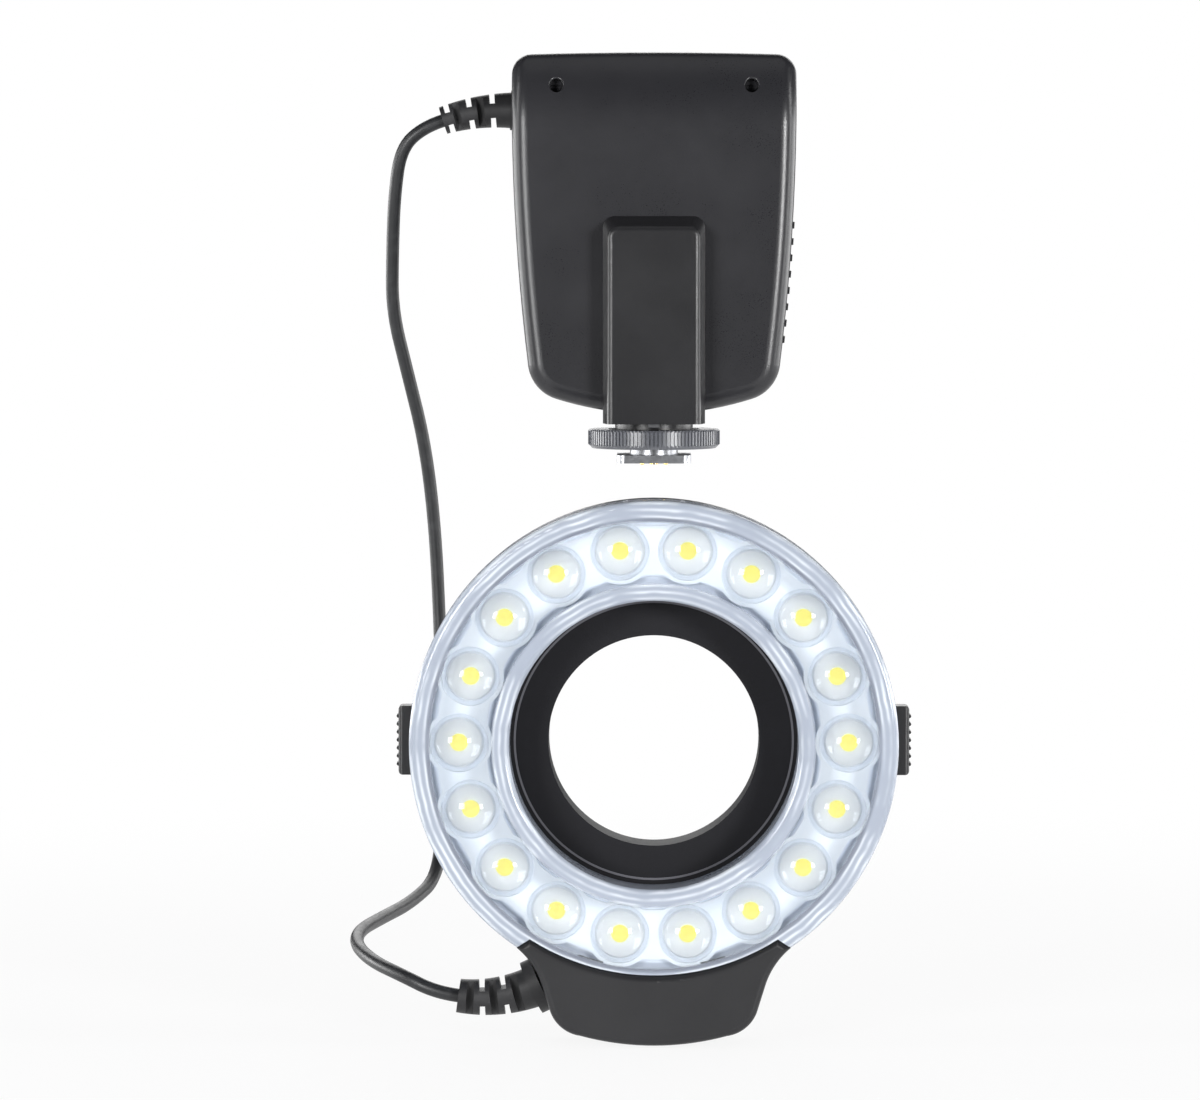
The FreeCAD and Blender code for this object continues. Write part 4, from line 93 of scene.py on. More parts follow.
class Recipe:
    """A node material that is being put together around its main shader."""

    def __init__(self, name: str) -> None:
        """Start an empty material with a main shader joined to its output.

        Args:
            name: the material's name.
        """
        self.material = bpy.data.materials.new(name)
        self.material.use_nodes = True
        self.tree = self.material.node_tree
        self.tree.nodes.clear()
        self.output = self.tree.nodes.new("ShaderNodeOutputMaterial")
        self.shader = self.node("ShaderNodeBsdfPrincipled")
        self.tree.links.new(self.shader.outputs[0], self.output.inputs[0])

    def node(
        self, kind: str, settings: Optional[dict] = None, inputs: Optional[dict] = None
    ) -> bpy.types.Node:
        """Add one node.

        Args:
            kind: the node's type.
            settings: its own settings, which are set first.
            inputs: socket name or number to a value, a socket or a Value.

        Returns:
            The new node.
        """
        made = self.tree.nodes.new(kind)
        for name, setting in (settings or {}).items():
            setattr(made, name, setting)
        for name, given in (inputs or {}).items():
            self.feed(made.inputs[name], given)
        return made

    def feed(self, socket: bpy.types.NodeSocket, given: object) -> None:
        """Give a socket a link if it is handed one, and else a plain value.

        Args:
            socket: the socket that is fed.
            given: a Value, a socket, a colour or a number.
        """
        if isinstance(given, Value):
            given = given.socket
        if isinstance(given, bpy.types.NodeSocket):
            self.tree.links.new(given, socket)
        elif isinstance(given, tuple) and len(given) == 3 and socket.type == "RGBA":
            socket.default_value = (*given, 1.0)
        else:
            socket.default_value = given

    def main(self, **given: object) -> None:
        """Set sockets of the main shader, with underscores for the spaces in their names."""
        for name, value in given.items():
            self.feed(self.shader.inputs[name.replace("_", " ")], value)

    def place(
        self, turned: Place = (0.0, 0.0, 0.0), scale: Place = (1.0, 1.0, 1.0)
    ) -> bpy.types.NodeSocket:
        """Object coordinates in metres, turned and stretched by a Mapping node.

        Args:
            turned: radians about each axis.
            scale: how much each axis is stretched.

        Returns:
            The socket that holds them.
        """
        where = self.node("ShaderNodeTexCoord").outputs["Object"]
        inputs = {"Vector": where, "Rotation": turned, "Scale": scale}
        return self.node("ShaderNodeMapping", {"vector_type": "POINT"}, inputs).outputs[0]

    def grain(
        self, size: float, detail: float = 2.0, where: Optional[bpy.types.NodeSocket] = None
    ) -> "Value":
        """Noise from 0 to 1.

        Args:
            size: how many metres across its lumps are.
            detail: how many finer layers it holds.
            where: the coordinates that it is laid over, or None for the plain ones.

        Returns:
            The noise.
        """
        inputs = {
            "Vector": where or self.place(),
            "Scale": 1.0 / size,
            "Detail": detail,
            "Roughness": NOISE_ROUGHNESS,
        }
        return Value(self, self.node("ShaderNodeTexNoise", {}, inputs).outputs[0])

    def cells(self, size: float) -> "Value":
        """Distance to the nearest cell centre, for speckle that is about that many metres apart."""
        made = self.node("ShaderNodeTexVoronoi", {}, {"Vector": self.place(), "Scale": 1.0 / size})
        return Value(self, made.outputs[0])

    def axis(self, name: str) -> "Value":
        """One object coordinate in metres: X, Y or Z."""
        where = self.node("ShaderNodeTexCoord").outputs["Object"]
        return Value(self, self.node("ShaderNodeSeparateXYZ", {}, {0: where}).outputs[name])

    def ring_radius(self) -> "Value":
        """Distance from the ring head's axis.

        Returns:
            That distance in metres.
        """
        across = self.axis("X")
        up = self.axis("Z") - RING_AXIS_Z
        return (across * across + up * up) ** 0.5

    def blend(self, factor: "Value", low: object, high: object) -> bpy.types.NodeSocket:
        """A colour between two colours.

        Args:
            factor: 0 for the first colour, 1 for the second.
            low: the first colour, or a socket that holds it.
            high: the second one.

        Returns:
            The socket that holds the colour.
        """
        mix = self.node("ShaderNodeMix", {"data_type": "RGBA"}, {"Factor": factor})
        self.feed(mix.inputs[6], low)
        self.feed(mix.inputs[7], high)
        return mix.outputs[2]

    def relief(self, height: "Value", depth: float) -> bpy.types.NodeSocket:
        """A bump of that depth in metres over a height from 0 to 1."""
        inputs = {"Height": height, "Distance": depth, "Strength": 1.0}
        return self.node("ShaderNodeBump", {}, inputs).outputs[0]


class Value:
    """A number inside a material, so that shading maths is written as arithmetic."""

    def __init__(self, recipe: Recipe, socket: bpy.types.NodeSocket) -> None:
        """Wrap a socket of a recipe."""
        self.recipe = recipe
        self.socket = socket

    def _math(self, operation: str, left: object, right: object = 0.0) -> "Value":
        """Add one Math node."""
        made = self.recipe.node("ShaderNodeMath", {"operation": operation}, {0: left, 1: right})
        return Value(self.recipe, made.outputs[0])

    def __add__(self, other: object) -> "Value":
        """Sum."""
        return self._math("ADD", self, other)

    __radd__ = __add__

    def __mul__(self, other: object) -> "Value":
        """Product."""
        return self._math("MULTIPLY", self, other)

    __rmul__ = __mul__

    def __sub__(self, other: object) -> "Value":
        """Difference."""
        return self._math("SUBTRACT", self, other)

    def __rsub__(self, other: object) -> "Value":
        """Difference, with the number in front."""
        return self._math("SUBTRACT", other, self)

    def __pow__(self, other: object) -> "Value":
        """Power."""
        return self._math("POWER", self, other)

    def sine(self) -> "Value":
        """Sine of this, in radians."""
        return self._math("SINE", self)

    def ramp(self, low: float, high: float) -> "Value":
        """0 below low, 1 above high, and smooth between.

        Args:
            low: where it starts to rise.
            high: where it has risen.

        Returns:
            The ramp's value.
        """
        inputs = {"Value": self, "From Min": low, "From Max": high}
        made = self.recipe.node("ShaderNodeMapRange", {"interpolation_type": "SMOOTHSTEP"}, inputs)
        return Value(self.recipe, made.outputs[0])


@dataclass(frozen=True)
class Moulded:
    """Moulded plastic with the fine spark texture of its tool.

    Roughness drifts a little over each face where hands have polished it.
    """

    name: str
    colour: Colour
    roughness: float = 0.42
    grain: float = 0.0003
    depth: float = 0.00002
    worn: float = 0.10
    sheen: float = 0.5
    patch: float = 0.022
    patch_range: Span = (0.35, 0.75)
    patch_gain: float = 1.12
    patch_lift: float = 0.001
    grain_roughness: float = 0.12

    def material(self) -> bpy.types.Material:
        """Build the plastic.

        Returns:
            Its material.
        """
        recipe = Recipe(self.name)
        fine = recipe.grain(self.grain, detail=3.0)
        broad = recipe.grain(self.patch, detail=3.0)
        paler = tuple(c * self.patch_gain + self.patch_lift for c in self.colour)
        polish = self.roughness + (broad - 0.5) * self.worn
        recipe.main(
            Base_Color=recipe.blend(broad.ramp(*self.patch_range), self.colour, paler),
            Roughness=polish + (fine - 0.5) * self.grain_roughness,
            Normal=recipe.relief(fine, self.depth),
            IOR=PLASTIC_IOR,
            Specular_IOR_Level=self.sheen,
        )
        return recipe.material


@dataclass(frozen=True)
class Clear:
    """Clear moulded plastic, with the faint waves of its flow and a haze of fine marks."""

    name: str
    tint: Colour
    roughness: float = 0.02
    waves: float = 0.00001
    clearness: float = 1.0
    glow: float = 0.0
    wave_size: float = 0.006
    mark_size: float = 0.0009
    mark_range: Span = (0.62, 0.8)
    mark_roughness: float = 0.05

    def material(self) -> bpy.types.Material:
        """Build the clear plastic.

        Returns:
            Its material.
        """
        recipe = Recipe(self.name)
        slow = recipe.grain(self.wave_size, detail=1.0)
        marks = recipe.grain(self.mark_size, detail=4.0)
        recipe.main(
            Base_Color=self.tint,
            Roughness=self.roughness + marks.ramp(*self.mark_range) * self.mark_roughness,
            Normal=recipe.relief(slow, self.waves),
            IOR=ACRYLIC_IOR,
            Transmission_Weight=self.clearness,
            Emission_Color=self.tint,
            Emission_Strength=self.glow,
        )
        return recipe.material


@dataclass(frozen=True)
class CoverPlastic:
    """The front cover's plastic: clear over the lenses, with a painted reflection of the bright
    surroundings on its two walls, where they are seen along their depth.

    Painted highlights run round both walls as pale streaks, and a painted shadow draws a soft grey
    line where the tray's outer edge meets the outer wall. The turns are spans of the radius.
    """

    name: str
    wall_reflection: Colour
    streak_highlight: Colour
    # painted shadow: the grey of the soft line at the tray's outer edge
    edge_shadow: Colour = (0.20, 0.22, 0.27)
    inner_turn: Span = (0.0374, 0.0384)
    outer_turn: Span = (0.0528, 0.0538)
    edge_shadow_rise: Span = (0.0523, 0.0530)
    edge_shadow_fall: Span = (0.0532, 0.0539)
    clear_alpha: float = 0.06
    reflection_alpha: float = 0.90
    edge_shadow_alpha: float = 0.9
    streak_width: float = 0.0016
    streak_drift: float = 7.0
    streak_range: Span = (0.3, 0.7)
    edge_shadow_range: Span = (0.3, 0.65)
    edge_shadow_least: float = 0.45
    edge_shadow_more: float = 0.5
    lump_size: float = 0.012
    lump_depth: float = 0.00004
    fine_size: float = 0.0012
    roughness: float = 0.10
    fine_roughness: float = 0.12

    def material(self) -> bpy.types.Material:
        """Build the plastic, clear over the lenses and with a painted reflection at both walls.

        Returns:
            Its material.
        """
        recipe = Recipe(self.name)
        radius = recipe.ring_radius()
        lump = recipe.grain(self.lump_size)
        fine = recipe.grain(self.fine_size, detail=3.0)
        # painted reflection: both walls turn nearly opaque and pale, for the bright surroundings
        # they reflect
        painted_share = radius.ramp(*self.outer_turn) + (1.0 - radius.ramp(*self.inner_turn))
        # painted highlights: pale streaks that wind round both walls
        turns = radius * (2 * math.pi / self.streak_width) + lump * self.streak_drift
        waves = turns.sine() * 0.5 + 0.5
        highlight = (waves ** 2) * lump.ramp(*self.streak_range)
        # painted shadow: step is a grey ring at the tray's outer edge, darker in patches round it
        step = radius.ramp(*self.edge_shadow_rise) * (1.0 - radius.ramp(*self.edge_shadow_fall))
        step = step * (self.edge_shadow_least + lump.ramp(*self.edge_shadow_range) * self.edge_shadow_more)
        painted_share = painted_share + step * (1.0 - painted_share) * self.edge_shadow_alpha
        # the walls' colour is painted reflection, paler where the painted highlights run
        walls = recipe.blend(highlight, self.wall_reflection, self.streak_highlight)
        recipe.main(
            Base_Color=recipe.blend(step, walls, self.edge_shadow),
            Roughness=self.roughness + fine * self.fine_roughness,
            Alpha=self.clear_alpha + painted_share * (self.reflection_alpha - self.clear_alpha),
            Normal=recipe.relief(lump, self.lump_depth),
            IOR=ACRYLIC_IOR,
        )
        return recipe.material


@dataclass(frozen=True)
class White:
    """White plastic with a painted glow, which is stronger near the ring's rim."""

    name: str
    colour: Colour
    shade: Colour
    roughness: float = 0.3
    glow: float = 0.0
    rim_painted_light: float = 0.0
    rim: Span = (0.0455, 0.0505)
    patch: float = 0.012
    patch_range: Span = (0.3, 0.7)
    grain: float = 0.0004
    grain_depth: float = 0.000006
    grain_roughness: float = 0.1

    def material(self) -> bpy.types.Material:
        """Build the white plastic, with its painted glow.

        Returns:
            Its material.
        """
        recipe = Recipe(self.name)
        broad = recipe.grain(self.patch)
        fine = recipe.grain(self.grain)
        outward = recipe.ring_radius().ramp(*self.rim)
        shares = (self.glow, self.glow + self.rim_painted_light)
        lit = [tuple(c * share for c in self.colour) for share in shares]
        recipe.main(
            Base_Color=recipe.blend(broad.ramp(*self.patch_range), self.shade, self.colour),
            Roughness=self.roughness + (fine - 0.5) * self.grain_roughness,
            Normal=recipe.relief(fine, self.grain_depth),
            # painted light: an emission glow that grows towards the ring's rim
            Emission_Color=recipe.blend(outward, *lit),
            Emission_Strength=1.0,
        )
        return recipe.material


@dataclass(frozen=True)
class LitBoard:
    """The LEDs' white board: painted light under the lenses, painted shade beyond the tray."""

    name: str
    colour: Colour
    shade: Colour
    glow: float = 0.4
    inner_turn: Span = (0.0386, 0.0398)
    outer_turn: Span = (0.0516, 0.0528)
    roughness: float = 0.35
    grain: float = 0.0006
    grain_roughness: float = 0.1

    def material(self) -> bpy.types.Material:
        """Build the board's white face.

        Returns:
            Its material.
        """
        recipe = Recipe(self.name)
        radius = recipe.ring_radius()
        # painted light and shade: lit is 1 between both walls, where the board glows, and 0 beyond
        # them
        lit = radius.ramp(*self.inner_turn) * (1.0 - radius.ramp(*self.outer_turn))
        fine = recipe.grain(self.grain)
        recipe.main(
            Base_Color=recipe.blend(lit, self.shade, self.colour),
            Roughness=self.roughness + (fine - 0.5) * self.grain_roughness,
            Emission_Color=recipe.blend(lit, BLACK, self.colour),
            Emission_Strength=self.glow,
        )
        return recipe.material


@dataclass(frozen=True)
class Phosphor:
    """The yellow phosphor of an LED: a matte gel full of fine grains."""

    name: str
    colour: Colour
    edge: Colour
    glow: float
    roughness: float = 0.55
    speck: float = 0.00018
    speck_range: Span = (0.2, 0.8)
    speck_depth: float = 0.00002

    def material(self) -> bpy.types.Material:
        """Build the phosphor.

        Returns:
            Its material.
        """
        recipe = Recipe(self.name)
        specks = recipe.cells(self.speck)
        recipe.main(
            Base_Color=recipe.blend(specks.ramp(*self.speck_range), self.colour, self.edge),
            Roughness=self.roughness,
            Normal=recipe.relief(specks, self.speck_depth),
            # painted light: the unlit phosphor glows
            Emission_Color=self.colour,
            Emission_Strength=self.glow,
        )
        return recipe.material


@dataclass(frozen=True)
class Rubbery:
    """Soft PVC or silicone: matte, with a faint bloom."""

    name: str
    colour: Colour
    roughness: float = 0.55
    bloom: float = 0.004
    bloom_range: Span = (0.45, 0.8)
    bloom_gain: float = 1.6
    bloom_lift: float = 0.006
    bloom_roughness: float = 0.2
    grain: float = 0.00025
    grain_depth: float = 0.000015

    def material(self) -> bpy.types.Material:
        """Build the soft plastic.

        Returns:
            Its material.
        """
        recipe = Recipe(self.name)
        bloom = recipe.grain(self.bloom, detail=4.0)
        fine = recipe.grain(self.grain)
        paler = tuple(c * self.bloom_gain + self.bloom_lift for c in self.colour)
        recipe.main(
            Base_Color=recipe.blend(bloom.ramp(*self.bloom_range), self.colour, paler),
            Roughness=self.roughness + (bloom - 0.5) * self.bloom_roughness,
            Normal=recipe.relief(fine, self.grain_depth),
        )
        return recipe.material


@dataclass(frozen=True)
class Plated:
    """Rolled or turned metal with a thin plating and fine lines along one way."""

    name: str
    colour: Colour
    roughness: float = 0.3
    lines: Place = (0.04, 1.0, 1.0)
    line_size: float = 0.00025
    line_depth: float = 0.00001
    line_roughness: float = 0.25
    dull_size: float = 0.003
    dull_range: Span = (0.4, 0.75)
    dull_share: float = 0.72

    def material(self) -> bpy.types.Material:
        """Build the metal.

        Returns:
            Its material.
        """
        recipe = Recipe(self.name)
        brushed = recipe.grain(self.line_size, where=recipe.place(scale=self.lines))
        dull = recipe.grain(self.dull_size, detail=3.0)
        darker = tuple(c * self.dull_share for c in self.colour)
        recipe.main(
            Base_Color=recipe.blend(dull.ramp(*self.dull_range), self.colour, darker),
            Metallic=1.0,
            Roughness=self.roughness + (brushed - 0.5) * self.line_roughness,
            Normal=recipe.relief(brushed, self.line_depth),
        )
        return recipe.material


@dataclass(frozen=True)
class Board:
    """A circuit board: solder mask over copper runs, which stand proud and shine through it."""

    name: str
    mask: Colour
    copper: Colour
    pitch: float = 0.0024
    gap: float = 0.09
    gap_softness: float = 0.3
    run_depth: float = 0.00003
    roughness: float = 0.34
    haze: float = 0.002
    haze_roughness: float = 0.08

    def material(self) -> bpy.types.Material:
        """Build the board's face.

        Returns:
            Its material.
        """
        recipe = Recipe(self.name)
        inputs = {
            "Vector": recipe.place(turned=(math.pi / 2, 0.0, 0.0)),
            "Scale": 1.0 / self.pitch,
            "Mortar Size": self.gap,
            "Mortar Smooth": self.gap_softness,
        }
        run = recipe.node("ShaderNodeTexBrick", {"offset": 0.5, "squash": 1.0}, inputs)
        tracks = Value(recipe, run.outputs["Fac"])
        recipe.main(
            Base_Color=recipe.blend(tracks, self.mask, self.copper),
            Roughness=self.roughness + recipe.grain(self.haze) * self.haze_roughness,
            Normal=recipe.relief(tracks, self.run_depth),
        )
        return recipe.material


@dataclass(frozen=True)
class CellWrap:
    """The printed film round a battery cell or capacitor: two plain bands along its length."""

    name: str
    body: Colour
    band: Colour
    turn: Span
    metallic: float = 0.6
    roughness: float = 0.28
    haze: float = 0.001
    haze_roughness: float = 0.08

    def material(self) -> bpy.types.Material:
        """Build the film, with its band past one X.

        Returns:
            Its material.
        """
        recipe = Recipe(self.name)
        past = recipe.axis("X").ramp(*self.turn)
        recipe.main(
            Base_Color=recipe.blend(past, self.body, self.band),
            Metallic=self.metallic,
            Roughness=self.roughness + recipe.grain(self.haze) * self.haze_roughness,
        )
        return recipe.material


class Finish(Enum):
    """Every finish that the light has, with how it is made."""

    CASE = Moulded("case_plastic", srgb(36, 36, 39), roughness=0.3)
    BRACKET = Moulded(
        "bracket_plastic", srgb(32, 32, 34), roughness=0.32, grain=0.00036, sheen=0.45
    )
    RING_BLACK = Moulded("ring_plastic", srgb(31, 31, 33), roughness=0.34, sheen=0.45)
    ADAPTER = Moulded(
        "adapter_plastic", srgb(22, 22, 26), roughness=0.6, grain=0.0004, depth=0.00003, sheen=0.2
    )
    WHEEL = Moulded("wheel_plastic", srgb(86, 88, 94), roughness=0.28, grain=0.0005, sheen=0.7)
    BUTTON = Rubbery("button_rubber", srgb(60, 61, 64))
    RELIEF = Rubbery("relief_rubber", srgb(27, 27, 29), roughness=0.5)
    CORD = Rubbery("cord_jacket", srgb(30, 31, 33), roughness=0.42)
    # painted reflection and painted highlights on the cover's walls
    COVER = CoverPlastic("cover_acrylic", (0.365, 0.405, 0.48), (0.76, 0.81, 0.87))
    LENS = Clear("lens_acrylic", (0.95, 0.97, 0.99), clearness=0.9)
    # painted light: the tray glows
    TRAY = White("tray_white", (0.80, 0.87, 0.94), (0.74, 0.82, 0.91), glow=0.085, rim_painted_light=0.13)
    # painted light: the unlit emitters glow
    EMITTER = White(
        "emitter_white", (0.87, 0.90, 0.91), (0.81, 0.84, 0.86), roughness=0.4, glow=0.12
    )
    # painted light: the phosphor glows
    PHOSPHOR = Phosphor("phosphor", srgb(252, 247, 128), srgb(244, 237, 108), glow=0.38)
    KEY = Moulded("key_plastic", srgb(120, 121, 124), roughness=0.5)
    STEEL = Plated("zinc_plate", (0.60, 0.60, 0.58))
    FOOT = Plated("foot_steel", (0.42, 0.43, 0.45), roughness=0.34, lines=(1.0, 0.04, 1.0))
    SPRING = Plated("spring_steel", (0.46, 0.46, 0.48), roughness=0.25)
    GOLD = Plated("contact_gold", (0.86, 0.62, 0.24), roughness=0.22)
    BOARD = Board("board_green", (0.012, 0.10, 0.04), (0.05, 0.24, 0.09))
    # black-oxide screws; their black also stands in for the shade deep in their wells
    SCREW = Plated("screw_black", (0.05, 0.05, 0.055), roughness=0.4)
    # painted light under the lenses and painted shade beyond the tray
    LED_BOARD = LitBoard("board_white", (0.76, 0.82, 0.90), (0.53, 0.59, 0.69))
    CORE = Moulded("core_plastic", srgb(30, 30, 32), roughness=0.5)
    PRINT = Moulded("white_print", srgb(214, 215, 216), roughness=0.5)
    SEGMENT = Moulded("display_segment", srgb(26, 30, 26), roughness=0.3, depth=0.000002)
    BORDER = Moulded("window_print", srgb(16, 16, 18), roughness=0.3, depth=0.000002)
    # painted highlight: the grey line in the adapter's groove
    RIM_HIGHLIGHT = Moulded("adapter_rim_highlight", srgb(92, 92, 98), roughness=0.4)
    CELL = CellWrap("cell_film", (0.07, 0.09, 0.13), (0.55, 0.42, 0.16), (0.0163, 0.0167))
    SLEEVE = CellWrap("capacitor_sleeve", (0.02, 0.03, 0.06), (0.4, 0.42, 0.44), (0.0198, 0.0202))
    SCREEN = Moulded(
        "screen_glass", srgb(118, 130, 112), roughness=0.12, grain=0.0004, depth=0.000002
    )
    WINDOW = Clear("window_acrylic", (0.55, 0.58, 0.6))
    PILOT = Clear("pilot_green", (0.12, 0.70, 0.24), roughness=0.2, clearness=0.3, glow=0.35)


class Palette:
    """Builds each finish once, the first time that it is asked for."""

    def __init__(self) -> None:
        """Start with no finish built."""
        self._made: dict[Finish, bpy.types.Material] = {}

    def __getitem__(self, finish: Finish) -> bpy.types.Material:
        """Look a finish up, and build it if nothing has asked for it yet.

        Args:
            finish: the finish.

        Returns:
            Its material.
        """
        if finish not in self._made:
            self._made[finish] = finish.value.material()
        return self._made[finish]


palette = Palette()


class Workpiece:
    """A mesh under construction, which ends as one piece that rides a body."""

    def __init__(self, name: str) -> None:
        """Start with an empty mesh.

        Args:
            name: the finished piece's name.
        """
        self.name = name
        self.form = bmesh.new()

    def turn(self, verts: list, degrees: float, axis: str) -> None:
        """Turn vertices about the origin.

        Args:
            verts: the vertices.
            degrees: how far they turn.
            axis: X, Y or Z.
        """
        matrix = Matrix.Rotation(math.radians(degrees), 3, axis)
        bmesh.ops.rotate(self.form, cent=(0.0, 0.0, 0.0), matrix=matrix, verts=verts)

    def bar(
        self, centre: Sequence[float], size: Sequence[float], degrees: float = 0.0, axis: str = "Y"
    ) -> None:
        """Add a bar with sharp edges.

        Args:
            centre: its middle.
            size: its length along each axis, before it is turned.
            degrees: how far it is turned.
            axis: the axis that it is turned about.
        """
        made = bmesh.ops.create_cube(self.form, size=1.0)["verts"]
        bmesh.ops.scale(self.form, vec=Vector(size), verts=made)
        self.turn(made, degrees, axis)
        bmesh.ops.translate(self.form, vec=Vector(centre), verts=made)

    def hoop(
        self,
        centre: Sequence[float],
        radius: float,
        wide: float,
        deep: float,
        start: float = 0.0,
        sweep: float = FULL_TURN,
    ) -> None:
        """Add a flat hoop, or a part of one, that faces along the front-to-back axis.

        Args:
            centre: the middle of the hoop.
            radius: the middle of its band.
            wide: the band's width.
            deep: the band's depth, front to back.
            start: degrees from straight up to the first end, clockwise as seen from the front.
            sweep: degrees that it covers.
        """
        middle = Vector(centre)
        out, back = wide / 2, deep / 2
        corners = [(-out, -back), (out, -back), (out, back), (-out, back)]
        ring = [self.form.verts.new((0.0, y, radius + more)) for more, y in corners]
        band = [self.form.edges.new((end, ring[place - 1])) for place, end in enumerate(ring)]
        whole = sweep >= FULL_TURN
        ends = [] if whole else [self.form.faces.new(ring)]
        self.turn(ring, start, "Y")
        bmesh.ops.translate(self.form, vec=middle, verts=ring)
        bmesh.ops.spin(
            self.form,
            geom=[*ring, *band, *ends],
            cent=middle,
            axis=(0.0, 1.0, 0.0),
            angle=math.radians(sweep),
            steps=max(LEAST_HOOP_STEPS, int(sweep / HOOP_STEP)),
            use_merge=whole,
            use_duplicate=False,
        )

    def frame(
        self, centre: Sequence[float], wide: float, tall: float, band: float, deep: float
    ) -> None:
        """Add a flat frame that faces along the front-to-back axis.

        Args:
            centre: its middle.
            wide: its outer width.
            tall: its outer height.
            band: how wide its four sides are.
            deep: its depth, front to back.
        """
        made = bmesh.ops.create_grid(self.form, x_segments=1, y_segments=1, size=0.5)["verts"]
        bmesh.ops.scale(self.form, vec=(wide, tall, 1.0), verts=made)
        self.turn(made, 90.0, "X")
        bmesh.ops.translate(self.form, vec=Vector(centre), verts=made)
        pane = made[0].link_faces[0]
        sides = bmesh.ops.inset_region(
            self.form, faces=[pane], thickness=band, use_boundary=True, use_even_offset=True
        )["faces"]
        bmesh.ops.delete(self.form, geom=[pane], context="FACES_ONLY")
        back = bmesh.ops.extrude_face_region(self.form, geom=sides, use_keep_orig=True)["geom"]
        rear = [part for part in back if isinstance(part, bmesh.types.BMVert)]
        front = {corner for side in sides for corner in side.verts}
        bmesh.ops.translate(self.form, vec=(0.0, deep, 0.0), verts=rear)
        bmesh.ops.translate(self.form, vec=(0.0, -deep / 2, 0.0), verts=[*rear, *front])

    def finish(self, body: str, slot: str, look: Finish) -> bpy.types.Object:
        """Turn the mesh into a piece.

        Args:
            body: the body that it rides.
            slot: the name of a material slot; not used.
            look: its finish in the render.

        Returns:
            The piece.
        """
        bmesh.ops.remove_doubles(self.form, verts=self.form.verts, dist=WELD)
        bmesh.ops.recalc_face_normals(self.form, faces=self.form.faces)
        mesh = bpy.data.meshes.new(self.name)
        self.form.to_mesh(mesh)
        self.form.free()
        mesh.materials.append(palette[look])
        piece = bpy.data.objects.new(self.name, mesh)
        bpy.context.scene.collection.objects.link(piece)
        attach(piece, body)
        log.info("%s rides %s", self.name, body)
        return piece


def middle_of(node: str) -> Vector:
    """The middle of a node's box at rest."""
    low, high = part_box(node)
    return (Vector(low) + Vector(high)) / 2


def rear_of(node: str) -> float:
    """How far back a node reaches."""
    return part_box(node)[1][1]


class Sign(Enum):
    """The plain sign on each button."""

    BARS = "bars"
    LAMP = "lamp"
    ARROW = "arrow"
    MINUS = "minus"
    POWER = "power"
    PLUS = "plus"


